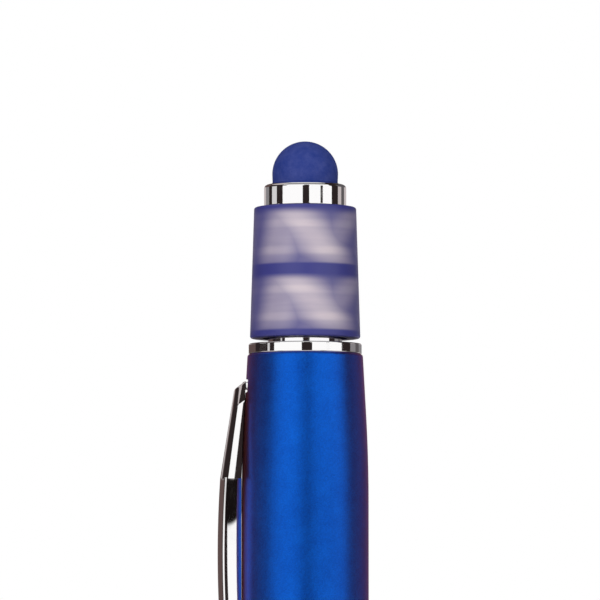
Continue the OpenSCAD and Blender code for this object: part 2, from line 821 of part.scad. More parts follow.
module clip() {
    z_under = z_tang - tang_t/2;
    z_root = z_rim - clip_top - tang_root;
    skin_u = clip_outer(clip_top) - tang_inset;
    color(chrome) {
        polyhedron(clip_points, clip_faces, convexity = 10);
        rotate([90, 0, 0])
            translate([0, 0, -tang_w/2])
                linear_extrude(tang_w)
                    polygon([
                        [-bore_r + tang_in, z_under], [-bore_r + tang_in, z_under + tang_t],
                        [-rim_r, z_under + tang_t], [-skin_u, z_rim - clip_top], [-skin_u, z_root],
                        [-clip_inner(clip_top + tang_root) - tang_inset, z_root], [-barrel_r, z_under]
                    ]);
    }
}

lower_barrel();
centre_ring();
nose_cone();
mechanism_tube();
retaining_ring();
return_spring();
refill_tube();
refill_plug();
refill_tip();
writing_ball();
cam_follower();
upper_barrel();
guide_bush();
twist_cam();
top_plug();
neck_ring();
spindle();
bearing_spacer();
lower_inner_ring();
lower_outer_ring();
lower_balls();
lower_cage();
upper_inner_ring();
upper_outer_ring();
upper_balls();
upper_cage();
spinner_sleeve();
stylus_collar();
stylus_tip();
clip();
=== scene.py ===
"""Dresses a twist ballpoint pen with a spinning sleeve and a touch stylus.

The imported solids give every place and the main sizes. Each class makes the visible pieces of
one sub-assembly in their stead, or dresses the solids that stay. Lengths are in metres.
"""

import logging
import math
from abc import ABC, abstractmethod
from dataclasses import dataclass
from enum import Enum

import bpy
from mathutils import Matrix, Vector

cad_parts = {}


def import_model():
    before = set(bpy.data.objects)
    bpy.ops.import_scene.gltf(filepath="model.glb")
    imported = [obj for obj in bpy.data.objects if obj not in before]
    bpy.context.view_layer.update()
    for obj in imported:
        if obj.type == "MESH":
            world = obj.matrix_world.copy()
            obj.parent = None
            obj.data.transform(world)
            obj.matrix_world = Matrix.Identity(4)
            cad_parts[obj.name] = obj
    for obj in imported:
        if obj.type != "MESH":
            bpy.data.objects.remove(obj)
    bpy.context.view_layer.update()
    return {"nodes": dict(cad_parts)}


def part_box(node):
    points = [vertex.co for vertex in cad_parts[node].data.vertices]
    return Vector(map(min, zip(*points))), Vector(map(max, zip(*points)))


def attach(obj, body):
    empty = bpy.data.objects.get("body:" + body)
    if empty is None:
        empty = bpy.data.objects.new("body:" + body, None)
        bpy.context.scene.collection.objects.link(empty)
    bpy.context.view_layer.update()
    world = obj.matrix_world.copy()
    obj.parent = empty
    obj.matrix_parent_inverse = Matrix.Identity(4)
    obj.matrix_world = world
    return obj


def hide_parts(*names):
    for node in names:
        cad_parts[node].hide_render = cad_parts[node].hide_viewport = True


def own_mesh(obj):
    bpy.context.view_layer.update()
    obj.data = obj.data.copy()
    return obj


log = logging.getLogger("pen")

MM = 0.001
WELD = 1e-7
LONG = 0.3 * MM
BRACE = 0.03 * MM
SMOOTH_ANGLE = math.radians(32)

# Sizes that pieces of two sub-assemblies share
HUB_RADIUS = 2.19 * MM
SPINDLE_BORE = 1.5 * MM
RIM_RADIUS = 5.475 * MM
TANG_THICK = 0.7 * MM

Point = tuple[float, float]


class Body(Enum):
    """Moving bodies of the pen that new pieces ride on."""

    LOWER = "lower"
    UPPER = "upper"
    SPINNER = "spinner"
    CLIP = "clip"


class Slot(Enum):
    """Material slots of the record."""

    LACQUER = "barrel_lacquer"
    SLEEVE = "sleeve_plastic"
    RUBBER = "stylus_rubber"
    CHROME = "chrome"
    STEEL = "steel"


def linear(code: str) -> tuple[float, float, float, float]:
    """Turns an sRGB hex colour into linear values.

    Args:
        code: Colour such as "#0B57C6".

    Returns:
        Linear red, green and blue, and an alpha of 1.
    """
    values = [int(code[i:i + 2], 16) / 255 for i in (1, 3, 5)]
    red, green, blue = (v / 12.92 if v <= 0.04045 else ((v + 0.055) / 1.055) ** 2.4 for v in values)
    return red, green, blue, 1.0


def plug(tree: bpy.types.NodeTree, node: bpy.types.Node, inputs: dict[str | int, object]) -> None:
    """Gives a node's inputs their values and links.

    Args:
        tree: Node tree that holds the node.
        node: The node.
        inputs: Value or linked output for each input, by name or number.
    """
    for key, value in inputs.items():
        if isinstance(value, bpy.types.NodeSocket):
            tree.links.new(value, node.inputs[key])
        else:
            node.inputs[key].default_value = value


def add(
    tree: bpy.types.NodeTree,
    kind: str,
    inputs: dict[str | int, object] | None = None,
    stops: tuple[tuple[float, tuple], ...] = (),
    **settings: object,
) -> bpy.types.Node:
    """Adds one shader node with its settings, values and links.

    Args:
        tree: Node tree that gets the node.
        kind: Blender's name of the node's type.
        inputs: Value or linked output for each input, by name or number.
        stops: Position and colour of each stop, on a colour ramp.
        settings: Other attributes of the node.

    Returns:
        The new node.
    """
    node = tree.nodes.new(kind)
    for name, value in settings.items():
        setattr(node, name, value)
    plug(tree, node, inputs or {})
    for i, (position, colour) in enumerate(stops):
        elements = node.color_ramp.elements
        element = elements[i] if i < len(elements) else elements.new(position)
        element.position = position
        element.color = colour
    return node


@dataclass(frozen=True)
class Finish(ABC):
    """A surface finish, which makes its material once and gives it to each piece."""

    name: str

    def material(self) -> bpy.types.Material:
        """Returns the finish's material, made on its first use."""
        found = bpy.data.materials.get(self.name)
        if found is None:
            found = bpy.data.materials.new(self.name)
            found.use_nodes = True
            self.paint(found.node_tree, found.node_tree.nodes["Principled BSDF"])
        return found

    @abstractmethod
    def paint(self, tree: bpy.types.NodeTree, shader: bpy.types.Node) -> None:
        """Builds the finish's nodes.

        Args:
            tree: The material's node tree.
            shader: Its Principled BSDF.
        """


@dataclass(frozen=True)
class ChromePlate(Finish):
    """Bright chrome plating on polished brass: a mirror with a faint haze from handling."""

    colour: str = "#EDECEC"
    clean: float = 0.03
    hazy: float = 0.1
    haze_size: float = 2.2 * MM
    haze_range: tuple[float, float] = (0.42, 0.75)

    def paint(self, tree: bpy.types.NodeTree, shader: bpy.types.Node) -> None:
        """Builds a mirror whose roughness drifts a little over the surface."""
        coords = add(tree, "ShaderNodeTexCoord").outputs["Object"]
        haze = add(
            tree, "ShaderNodeTexNoise", {"Vector": coords, "Scale": 1 / self.haze_size, "Detail": 4.0}
        )
        low, high = self.haze_range
        rough = add(
            tree,
            "ShaderNodeMapRange",
            {"Value": haze.outputs["Fac"], 1: low, 2: high, 3: self.clean, 4: self.hazy},
        )
        plug(
            tree,
            shader,
            {
                "Base Color": linear(self.colour),
                "Roughness": rough.outputs["Result"],
                "Metallic": 1.0,
            },
        )


@dataclass(frozen=True)
class MetallicLacquer(Finish):
    """Satin metallic lacquer: fine flakes under a dull coat, bright face on and dark at the edges.

    A warm sheen and a warm edge tint paint in a reflection of warm surroundings, which turns the dark
    edges purple.
    """

    deep: str = "#0850BA"
    bright: str = "#106BE0"
    tone_range: tuple[float, float] = (0.2, 0.8)
    # The warm edge tint and the warm sheen are a painted reflection of warm surroundings at the edges.
    edge: str = "#D0B0A4"
    sheen: float = 0.3
    painted_reflection_colour: str = "#D07060"
    sheen_roughness: float = 0.5
    roughness: float = 0.38
    rough_spread: tuple[float, float] = (-0.04, 0.05)
    # Real flakes are near 0.03 mm. They are drawn coarser so that their grain shows.
    flake: float = 0.11 * MM
    flake_share: float = 0.5
    flake_relief: float = 0.06
    cloud: float = 1.6 * MM
    cloud_share: float = 0.5

    def paint(self, tree: bpy.types.NodeTree, shader: bpy.types.Node) -> None:
        """Builds the flakes' grain, soft clouds of tone and a slight orange peel."""
        coords = add(tree, "ShaderNodeTexCoord").outputs["Object"]
        flakes = add(tree, "ShaderNodeTexVoronoi", {"Vector": coords, "Scale": 1 / self.flake})
        clouds = add(
            tree, "ShaderNodeTexNoise", {"Vector": coords, "Scale": 1 / self.cloud, "Detail": 3.0}
        )
        cloudy = add(
            tree, "ShaderNodeMath", {0: clouds.outputs["Fac"], 1: self.cloud_share}, operation="MULTIPLY"
        )
        tone = add(
            tree,
            "ShaderNodeMath",
            {0: flakes.outputs["Color"], 1: self.flake_share, 2: cloudy.outputs["Value"]},
            operation="MULTIPLY_ADD",
        )
        low, high = self.tone_range
        colour = add(
            tree,
            "ShaderNodeValToRGB",
            {"Fac": tone.outputs["Value"]},
            stops=((low, linear(self.deep)), (high, linear(self.bright))),
        )
        smoothest, roughest = (self.roughness + spread for spread in self.rough_spread)
        rough = add(
            tree, "ShaderNodeMapRange", {"Value": flakes.outputs["Color"], 3: smoothest, 4: roughest}
        )
        bump = add(
            tree,
            "ShaderNodeBump",
            {
                "Height": flakes.outputs["Distance"],
                "Strength": self.flake_relief,
                "Distance": self.flake,
            },
        )
        plug(
            tree,
            shader,
            {
                "Base Color": colour.outputs["Color"],
                "Roughness": rough.outputs["Result"],
                "Normal": bump.outputs["Normal"],
                "Metallic": 1.0,
                # Painted reflection: the warm edge tint and sheen turn the dark edges purple.
                "Specular Tint": linear(self.edge),
                "Sheen Weight": self.sheen,
                "Sheen Tint": linear(self.painted_reflection_colour),
                "Sheen Roughness": self.sheen_roughness,
            },
        )


@dataclass(frozen=True)
class Leg:
    """One leg of the printed zigzag, in degrees round the sleeve.

    Its middle line leans by so much from the row's foot to its head, and the print fades on both
    sides from the inner to the outer distance.
    """

    middle: float
    lean: float
    inner: float
    outer: float
    level: float


@dataclass(frozen=True)
class PrintedSleeve(Finish):
    """Satin ABS with two printed rows: a soft white zigzag, veiled as if it were turning.

    The shares of a row's height count from its foot, at 0, to its head, at 1.
    """

    plastic: str = "#3B3D8A"
    printed: str = "#DCD0D8"
    ior: float = 1.53
    roughness: float = 0.42
    rough_spread: float = 0.05
    grain: float = 0.16 * MM
    grain_relief: float = 0.06
    grain_depth: float = 0.05 * MM
    row_foot: float = 67.42 * MM
    row_pitch: float = 6.24 * MM
    row_height: float = 5.1 * MM
    repeats: int = 2
    legs: tuple[Leg, ...] = (
        Leg(10.0, -52.0, 2.0, 45.0, 0.81),
        Leg(-28.0, 15.0, 7.0, 36.0, 0.5),
        Leg(36.0, 55.0, 3.0, 33.0, 0.38),
    )
    veil: float = 0.11
    edge_end: float = 0.05
    foot_end: float = 0.24
    foot_level: float = 0.48
    head_start: float = 0.91
    head_end: float = 1.07
    lines: int = 2
    first_line: float = 0.26
    line_start: float = 0.3
    line_levels: tuple[float, float] = (0.97, 1.2)
    streak: float = 0.5 * MM
    streak_stretch: tuple[float, float, float] = (0.12, 0.12, 1.0)
    streak_range: tuple[float, float] = (0.3, 0.7)
    streak_levels: tuple[float, float] = (0.93, 1.05)

    def paint(self, tree: bpy.types.NodeTree, shader: bpy.types.Node) -> None:
        """Builds the print from the angle round the sleeve and the height in its row."""
        coords = add(tree, "ShaderNodeTexCoord").outputs["Object"]
        place = add(tree, "ShaderNodeSeparateXYZ", {"Vector": coords}).outputs
        front = add(tree, "ShaderNodeMath", {0: place["Y"], 1: -1.0}, operation="MULTIPLY")
        angle = add(tree, "ShaderNodeMath", {0: place["X"], 1: front.outputs[0]}, operation="ARCTAN2")
        rows = add(
            tree,
            "ShaderNodeMath",
            {0: place["Z"], 1: 1 / self.row_pitch, 2: -self.row_foot / self.row_pitch},
            operation="MULTIPLY_ADD",
        )
        in_row = add(tree, "ShaderNodeMath", {0: rows.outputs[0]}, operation="FRACT")
        rise = add(
            tree,
            "ShaderNodeMath",
            {0: in_row.outputs[0], 1: self.row_pitch / self.row_height},
            operation="MULTIPLY",
        )
        zigzag = self.zigzag(tree, angle.outputs[0], rise.outputs[0])
        rubbed = self.rubbed(tree, coords, rise.outputs[0])
        cover = add(tree, "ShaderNodeMath", {0: zigzag, 1: rubbed}, operation="MULTIPLY")
        colour = add(
            tree,
            "ShaderNodeValToRGB",
            {"Fac": cover.outputs[0]},
            stops=((0.0, linear(self.plastic)), (1.0, linear(self.printed))),
        )
        grain = add(
            tree, "ShaderNodeTexNoise", {"Vector": coords, "Scale": 1 / self.grain, "Detail": 2.0}
        )
        bump = add(
            tree,
            "ShaderNodeBump",
            {
                "Height": grain.outputs["Fac"],
                "Strength": self.grain_relief,
                "Distance": self.grain_depth,
            },
        )
        smoothest, roughest = self.roughness - self.rough_spread, self.roughness + self.rough_spread
        rough = add(
            tree, "ShaderNodeMapRange", {"Value": grain.outputs["Fac"], 3: smoothest, 4: roughest}
        )
        plug(
            tree,
            shader,
            {
                "Base Color": colour.outputs["Color"],
                "Roughness": rough.outputs["Result"],
                "Normal": bump.outputs["Normal"],
                "IOR": self.ior,
            },
        )

    def zigzag(
        self, tree: bpy.types.NodeTree, angle: bpy.types.NodeSocket, rise: bpy.types.NodeSocket
    ) -> bpy.types.NodeSocket:
        """Lays the legs over each other, the stronger one on top.

        Args:
            tree: The material's node tree.
            angle: Angle round the sleeve.
            rise: Height in the row, 0 at its foot and 1 at its head.

        Returns:
            How white the print is.
        """
        half = math.pi / self.repeats
        white = None
        for leg in self.legs:
            lean = math.radians(leg.lean)
            shift = lean / 2 - math.radians(leg.middle)
            inner = math.radians(leg.inner)
            outer = math.radians(leg.outer)
            line = add(tree, "ShaderNodeMath", {0: rise, 1: -lean, 2: shift}, operation="MULTIPLY_ADD")
            turned = add(tree, "ShaderNodeMath", {0: angle, 1: line.outputs[0]}, operation="ADD")
            wrapped = add(
                tree, "ShaderNodeMath", {0: turned.outputs[0], 1: half, 2: -half}, operation="WRAP"
            )
            away = add(tree, "ShaderNodeMath", {0: wrapped.outputs[0]}, operation="ABSOLUTE")
            shade = add(
                tree,
                "ShaderNodeMapRange",
                {"Value": away.outputs[0], 1: inner, 2: outer, 3: leg.level, 4: self.veil},
                interpolation_type="SMOOTHSTEP",
            ).outputs[0]
            if white is None:
                white = shade
            else:
                white = add(
                    tree, "ShaderNodeMath", {0: white, 1: shade}, operation="MAXIMUM"
                ).outputs[0]
        return white

    def rubbed(
        self, tree: bpy.types.NodeTree, coords: bpy.types.NodeSocket, rise: bpy.types.NodeSocket
    ) -> bpy.types.NodeSocket:
        """Fades the rows' edges and adds two pale lines and fine streaks round the sleeve.

        Args:
            tree: The material's node tree.
            coords: Object coordinates.
            rise: Height in the row.

        Returns:
            A factor near 1 for the print's strength.
        """
        edge = add(
            tree,
            "ShaderNodeMapRange",
            {"Value": rise, 1: 0.0, 2: self.edge_end},
            interpolation_type="SMOOTHSTEP",
        )
        foot = add(
            tree,
            "ShaderNodeMapRange",
            {"Value": rise, 1: 0.0, 2: self.foot_end, 3: self.foot_level, 4: 1.0},
        )
        head = add(
            tree,
            "ShaderNodeMapRange",
            {"Value": rise, 1: self.head_end, 2: self.head_start},
            interpolation_type="SMOOTHSTEP",
        )
        waves = math.tau * self.lines
        wave = add(
            tree,
            "ShaderNodeMath",
            {0: rise, 1: waves, 2: -waves * self.first_line},
            operation="MULTIPLY_ADD",
        )
        crest = add(tree, "ShaderNodeMath", {0: wave.outputs[0]}, operation="COSINE")
        plain, pale = self.line_levels
        lines = add(
            tree,
            "ShaderNodeMapRange",
            {"Value": crest.outputs[0], 1: self.line_start, 2: 1.0, 3: plain, 4: pale},
            interpolation_type="SMOOTHSTEP",
        )
        layers = add(tree, "ShaderNodeMapping", {"Vector": coords, "Scale": self.streak_stretch})
        streaks = add(
            tree,
            "ShaderNodeTexNoise",
            {"Vector": layers.outputs[0], "Scale": 1 / self.streak, "Detail": 2.0},
        )
        low, high = self.streak_range
        weak, strong = self.streak_levels
        uneven = add(
            tree,
            "ShaderNodeMapRange",
            {"Value": streaks.outputs["Fac"], 1: low, 2: high, 3: weak, 4: strong},
        )
        strength = edge.outputs[0]
        for factor in (foot, head, lines, uneven):
            strength = add(
                tree, "ShaderNodeMath", {0: strength, 1: factor.outputs[0]}, operation="MULTIPLY"
            ).outputs[0]
        return strength


@dataclass(frozen=True)
class DustyRubber(Finish):
    """Matte silicone rubber: no gloss, a fine tooth and pale dust in patches."""

    deep: str = "#23398A"
    pale: str = "#404E97"
    dust_range: tuple[float, float] = (0.35, 0.72)
    ior: float = 1.41
    roughness: float = 0.72
    rough_spread: tuple[float, float] = (-0.06, 0.12)
    patch: float = 0.9 * MM
    tooth: float = 0.14 * MM
    tooth_relief: float = 0.35
    tooth_depth: float = 0.06 * MM

    def paint(self, tree: bpy.types.NodeTree, shader: bpy.types.Node) -> None:
        """Builds patches of dust over a toothed surface."""
        coords = add(tree, "ShaderNodeTexCoord").outputs["Object"]
        patches = add(
            tree,
            "ShaderNodeTexNoise",
            {"Vector": coords, "Scale": 1 / self.patch, "Detail": 6.0, "Roughness": 0.65},
        )
        low, high = self.dust_range
        colour = add(
            tree,
            "ShaderNodeValToRGB",
            {"Fac": patches.outputs["Fac"]},
            stops=((low, linear(self.deep)), (high, linear(self.pale))),
        )
        tooth = add(
            tree, "ShaderNodeTexNoise", {"Vector": coords, "Scale": 1 / self.tooth, "Detail": 3.0}
        )
        bump = add(
            tree,
            "ShaderNodeBump",
            {
                "Height": tooth.outputs["Fac"],
                "Strength": self.tooth_relief,
                "Distance": self.tooth_depth,
            },
        )
        smoothest, roughest = (self.roughness + spread for spread in self.rough_spread)
        rough = add(
            tree, "ShaderNodeMapRange", {"Value": patches.outputs["Fac"], 3: smoothest, 4: roughest}
        )
        plug(
            tree,
            shader,
            {
                "Base Color": colour.outputs["Color"],
                "Roughness": rough.outputs["Result"],
                "Normal": bump.outputs["Normal"],
                "IOR": self.ior,
            },
        )


@dataclass(frozen=True)
class MouldedPlastic(Finish):
    """Injection-moulded acetal or nylon: even, slightly waxy, with a faint flow of tone."""

    deep: str
    pale: str
    tone_range: tuple[float, float] = (0.3, 0.7)
    ior: float = 1.48
    roughness: float = 0.45
    rough_spread: float = 0.06
    flow: float = 3.0 * MM
    grain: float = 0.2 * MM
    grain_relief: float = 0.1
    grain_depth: float = 0.05 * MM

    def paint(self, tree: bpy.types.NodeTree, shader: bpy.types.Node) -> None:
        """Builds the flow of tone and the mould's fine grain."""
        coords = add(tree, "ShaderNodeTexCoord").outputs["Object"]
        flow = add(
            tree, "ShaderNodeTexNoise", {"Vector": coords, "Scale": 1 / self.flow, "Detail": 3.0}
        )
        low, high = self.tone_range
        colour = add(
            tree,
            "ShaderNodeValToRGB",
            {"Fac": flow.outputs["Fac"]},
            stops=((low, linear(self.deep)), (high, linear(self.pale))),
        )
        grain = add(
            tree, "ShaderNodeTexNoise", {"Vector": coords, "Scale": 1 / self.grain, "Detail": 2.0}
        )
        bump = add(
            tree,
            "ShaderNodeBump",
            {
                "Height": grain.outputs["Fac"],
                "Strength": self.grain_relief,
                "Distance": self.grain_depth,
            },
        )
        smoothest, roughest = self.roughness - self.rough_spread, self.roughness + self.rough_spread
        rough = add(
            tree, "ShaderNodeMapRange", {"Value": grain.outputs["Fac"], 3: smoothest, 4: roughest}
        )
        plug(
            tree,
            shader,
            {
                "Base Color": colour.outputs["Color"],
                "Roughness": rough.outputs["Result"],
                "Normal": bump.outputs["Normal"],
                "IOR": self.ior,
            },
        )


@dataclass(frozen=True)
class TurnedMetal(Finish):
    """Metal as the lathe, the drawing die or the mould leaves it: fine marks along one axis or none."""

    deep: str
    bright: str
    roughness: float = 0.25
    rough_spread: tuple[float, float] = (-0.08, 0.1)
    tone_range: tuple[float, float] = (0.3, 0.7)
    # Real tool marks are near 0.02 mm. They are drawn coarser so that they show.
    mark: float = 0.12 * MM
    mark_relief: float = 0.15
    mark_depth: float = 0.02 * MM
    stretch: tuple[float, float, float] = (0.04, 0.04, 1.0)

    def paint(self, tree: bpy.types.NodeTree, shader: bpy.types.Node) -> None:
        """Builds the tool marks in tone, gloss and relief."""
        coords = add(tree, "ShaderNodeTexCoord").outputs["Object"]
        drawn = add(tree, "ShaderNodeMapping", {"Vector": coords, "Scale": self.stretch})
        marks = add(
            tree,
            "ShaderNodeTexNoise",
            {"Vector": drawn.outputs[0], "Scale": 1 / self.mark, "Detail": 4.0},
        )
        low, high = self.tone_range
        colour = add(
            tree,
            "ShaderNodeValToRGB",
            {"Fac": marks.outputs["Fac"]},
            stops=((low, linear(self.deep)), (high, linear(self.bright))),
        )
        smoothest, roughest = (self.roughness + spread for spread in self.rough_spread)
        rough = add(
            tree, "ShaderNodeMapRange", {"Value": marks.outputs["Fac"], 3: smoothest, 4: roughest}
        )
        bump = add(
            tree,
            "ShaderNodeBump",
            {
                "Height": marks.outputs["Fac"],
                "Strength": self.mark_relief,
                "Distance": self.mark_depth,
            },
        )
        plug(
            tree,
            shader,
            {
                "Base Color": colour.outputs["Color"],
                "Roughness": rough.outputs["Result"],
                "Normal": bump.outputs["Normal"],
                "Metallic": 1.0,
            },
        )


CHROME = ChromePlate("bright_chrome_plate")
LACQUER = MetallicLacquer("satin_metallic_blue_lacquer")
SLEEVE_ABS = PrintedSleeve("printed_blue_abs")
RUBBER = DustyRubber("matte_blue_silicone_rubber")
GREY_ACETAL = MouldedPlastic("moulded_grey_acetal", "#767A80", "#8C9096")
PALE_NYLON = MouldedPlastic("moulded_natural_nylon", "#D8D2C4", "#E9E5DA")
STEEL = TurnedMetal("ground_bearing_steel", "#A4A7AB", "#C3C5C8", 0.22)
DRAWN_TUBE = TurnedMetal("drawn_aluminium", "#B9BBBE", "#D0D1D3", 0.3, stretch=(1.0, 1.0, 0.03))
BRASS = TurnedMetal("turned_brass", "#A8853C", "#CBA65C", 0.24)
# The clip's faces towards the barrel are dark and dull: painted shade of the narrow gap between clip and
# barrel.
CLIP_GAP_SHADE = TurnedMetal("painted_gap_shade", "#3C3B3D", "#504F51", 0.55, stretch=(1.0, 1.0, 1.0))


def deselect() -> None:
    """Leaves nothing selected, so that an operator acts on the new piece alone."""
    bpy.ops.object.select_all(action="DESELECT")


def arc(centre: Point, radius: float, start: float, end: float, steps: int = 8) -> list[Point]:
    """Points of an arc in a profile.

    Args:
        centre: Distance from the axis and height of the arc's centre.
        radius: The arc's radius.
        start: First angle in degrees, 0 outwards and 90 upwards.
        end: Last angle in degrees.
        steps: Number of chords.

    Returns:
        The points in order.
    """
    angles = [math.radians(start + (end - start) * i / steps) for i in range(steps + 1)]
    return [(centre[0] + radius * math.cos(a), centre[1] + radius * math.sin(a)) for a in angles]


def draw_chain(name: str, points: list[tuple[float, float, float]]) -> bpy.types.Object:
    """Draws a chain of edges, one vertex extruded from the last, and stays in edit mode.

    Args:
        name: Name of the new object.
        points: Places of the vertices.

    Returns:
        The new object.
    """
    deselect()
    bpy.ops.mesh.primitive_plane_add(size=MM)
    piece = bpy.context.object
    piece.name = name
    piece.data.name = name
    bpy.ops.object.mode_set(mode="EDIT")
    bpy.ops.mesh.select_all(action="SELECT")
    bpy.ops.mesh.merge(type="CENTER")
    bpy.ops.transform.translate(value=points[0])
    for last, new in zip(points, points[1:]):
        step = tuple(b - a for a, b in zip(last, new))
        bpy.ops.mesh.extrude_region_move(TRANSFORM_OT_translate={"value": step})
    bpy.ops.mesh.select_all(action="SELECT")
    return piece


def clean_mesh() -> None:
    """Merges doubles, drops loose edges, turns the faces outwards and smooths the round stretches."""
    bpy.ops.mesh.select_all(action="SELECT")
    bpy.ops.mesh.remove_doubles(threshold=WELD)
    bpy.ops.mesh.delete_loose()
    bpy.ops.mesh.select_all(action="SELECT")
    bpy.ops.mesh.normals_make_consistent(inside=False)
    bpy.ops.object.mode_set(mode="OBJECT")
    bpy.ops.object.shade_smooth_by_angle(angle=SMOOTH_ANGLE)


def braced(profile: list[Point]) -> list[Point]:
    """Adds points close to the ends of long stretches, so that smooth shading stays on the curves.

    Args:
        profile: Corners in order.

    Returns:
        The same outline with the extra points.
    """
    points = []
    for a, b in zip(profile, profile[1:]):
        points.append(a)
        length = math.dist(a, b)
        if length > LONG:
            for share in (BRACE / length, 1 - BRACE / length):
                points.append((a[0] + (b[0] - a[0]) * share, a[1] + (b[1] - a[1]) * share))
    return [*points, profile[-1]]


def turn(name: str, profile: list[Point], segments: int = 128) -> bpy.types.Object:
    """Turns a closed profile about the pen's axis.

    Args:
        name: Name of the new piece.
        profile: Distance from the axis and height of each corner, in order.
        segments: Number of steps round the axis.

    Returns:
        The turned piece.
    """
    closed = braced([*profile, profile[0]])
    piece = draw_chain(name, [(r, 0.0, z) for r, z in closed])
    bpy.ops.mesh.spin(steps=segments, angle=math.tau, center=(0, 0, 0), axis=(0, 0, 1))
    clean_mesh()
    return piece


def cut(piece: bpy.types.Object, cutter: bpy.types.Object) -> None:
    """Takes the cutter's volume out of a piece and removes the cutter.

    Args:
        piece: Piece to cut.
        cutter: Solid to take away.
    """
    deselect()
    bpy.context.view_layer.objects.active = piece
    piece.select_set(True)
    hole = piece.modifiers.new("window", "BOOLEAN")
    hole.object = cutter
    hole.solver = "EXACT"
    bpy.ops.object.modifier_apply(modifier=hole.name)
    bpy.data.objects.remove(cutter)
    bpy.ops.object.shade_smooth_by_angle(angle=SMOOTH_ANGLE)


def block(
    place: tuple[float, float, float], size: tuple[float, float, float], rounding: float
) -> bpy.types.Object:
    """Makes a block with rounded edges.

    Args:
        place: The block's middle.
        size: Its three lengths.
        rounding: Bevel of its edges, or 0 for none.

    Returns:
        The block, in object mode.
    """
    deselect()
    bpy.ops.mesh.primitive_cube_add(size=1.0)
    piece = bpy.context.object
    piece.scale = size
    piece.location = place
    bpy.ops.object.transform_apply(location=True, rotation=True, scale=True)
    if rounding:
        bpy.ops.object.mode_set(mode="EDIT")
        bpy.ops.mesh.select_all(action="SELECT")
        bpy.ops.mesh.bevel(offset=rounding, segments=3)
        bpy.ops.object.mode_set(mode="OBJECT")
    return piece


def fit(piece: bpy.types.Object, node: str, body: Body, finish: Finish) -> None:
    """Puts a new piece in a node's place and dresses it.

    Args:
        piece: The new piece.
        node: CAD node that it stands for.
        body: Body that it moves with.
        finish: Finish of its surface.
    """
    piece.data.materials.clear()
    piece.data.materials.append(finish.material())
    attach(piece, body.value)
    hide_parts(node)
    log.info("%s stands for %s and moves with %s", piece.name, node, body.value)


@dataclass(frozen=True)
class Envelope:
    """Height range and largest radius of a turned node."""

    bottom: float
    top: float
    radius: float

    @classmethod
    def of(cls, node: str) -> "Envelope":
        """Measures a node.

        Args:
            node: CAD node's name.

        Returns:
            Its envelope about the pen's axis.
        """
        low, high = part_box(node)
        return cls(low.z, high.z, max(high.x, high.y))


@dataclass
class StylusHead:
    """Rubber dome and the chrome collar that holds it."""

    wall: float = 0.6 * MM
    dome_lip: float = 0.06 * MM
    collar_round: float = 0.35 * MM
    collar_foot: float = 0.06 * MM
    foot_round: float = 0.05 * MM
    mouth_round: float = 0.12 * MM
    hub_radius: float = HUB_RADIUS
    bore_radius: float = SPINDLE_BORE
    floor_depth: float = 1.4 * MM

    def build(self) -> None:
        """Makes and fits the dome and the collar."""
        self.dome()
        self.collar()

    def dome(self) -> None:
        """Turns the hollow dome, with the slight swell above the collar that pressing leaves."""
        tip = Envelope.of("stylus_tip")
        collar = Envelope.of("stylus_collar")
        centre = tip.top - tip.radius
        swell = arc((tip.radius - self.dome_lip, collar.top + self.dome_lip * 3), self.dome_lip, -60, 60)
        profile = [
            (tip.radius - self.wall, tip.bottom),
            (tip.radius - self.dome_lip, tip.bottom),
            *swell,
            *arc((0.0, centre), tip.radius, 0, 90, 28),
            *arc((0.0, centre), tip.radius - self.wall, 90, 0, 20),
        ]
        fit(turn("stylus_dome", profile), "stylus_tip", Body.UPPER, RUBBER)

    def collar(self) -> None:
        """Turns the collar: a cup with rounded rims on the hub that clamps the upper bearing."""
        cup = Envelope.of("stylus_collar")
        tip = Envelope.of("stylus_tip")
        sleeve = Envelope.of("spinner_sleeve")
        foot = sleeve.top + self.collar_foot
        mouth = tip.radius + self.mouth_round / 4
        seat = tip.bottom
        shoulder = (cup.radius - self.collar_round, cup.top - self.collar_round)
        profile = [
            (self.bore_radius, cup.bottom),
            (self.hub_radius, cup.bottom),
            (self.hub_radius, foot),
            *arc((cup.radius - self.foot_round, foot + self.foot_round), self.foot_round, -90, 0, 4),
            *arc(shoulder, self.collar_round, 0, 90, 10),
            *arc((mouth + self.mouth_round, cup.top - self.mouth_round), self.mouth_round, 90, 180, 6),
            (mouth, seat),
            (0.0, seat),
            (0.0, cup.top - self.floor_depth),
            (self.bore_radius, cup.top - self.floor_depth),
        ]
        fit(turn("stylus_cup", profile), "stylus_collar", Body.UPPER, CHROME)


@dataclass
class Spinner:
    """Spinning sleeve, slightly conical, with seats for its two bearings."""

    taper: float = 0.375 * MM
    rounding: float = 0.22 * MM
    seat_radius: float = 4.02 * MM
    shoulder_radius: float = 3.42 * MM

    def build(self) -> None:
        """Turns, prints and fits the sleeve."""
        sleeve = Envelope.of("spinner_sleeve")
        upper = Envelope.of("upper_outer_ring")
        lower = Envelope.of("lower_outer_ring")
        foot = sleeve.radius - self.rounding
        rim = sleeve.radius - self.taper - self.rounding
        profile = [
            (self.seat_radius, sleeve.bottom),
            *arc((foot, sleeve.bottom + self.rounding), self.rounding, -90, 0),
            *arc((rim, sleeve.top - self.rounding), self.rounding, 0, 90, 10),
            (self.seat_radius, sleeve.top),
            (self.seat_radius, upper.bottom),
            (self.shoulder_radius, upper.bottom),
            (self.shoulder_radius, lower.top),
            (self.seat_radius, lower.top),
        ]
        piece = turn("printed_sleeve", profile)
        fit(piece, "spinner_sleeve", Body.SPINNER, SLEEVE_ABS)


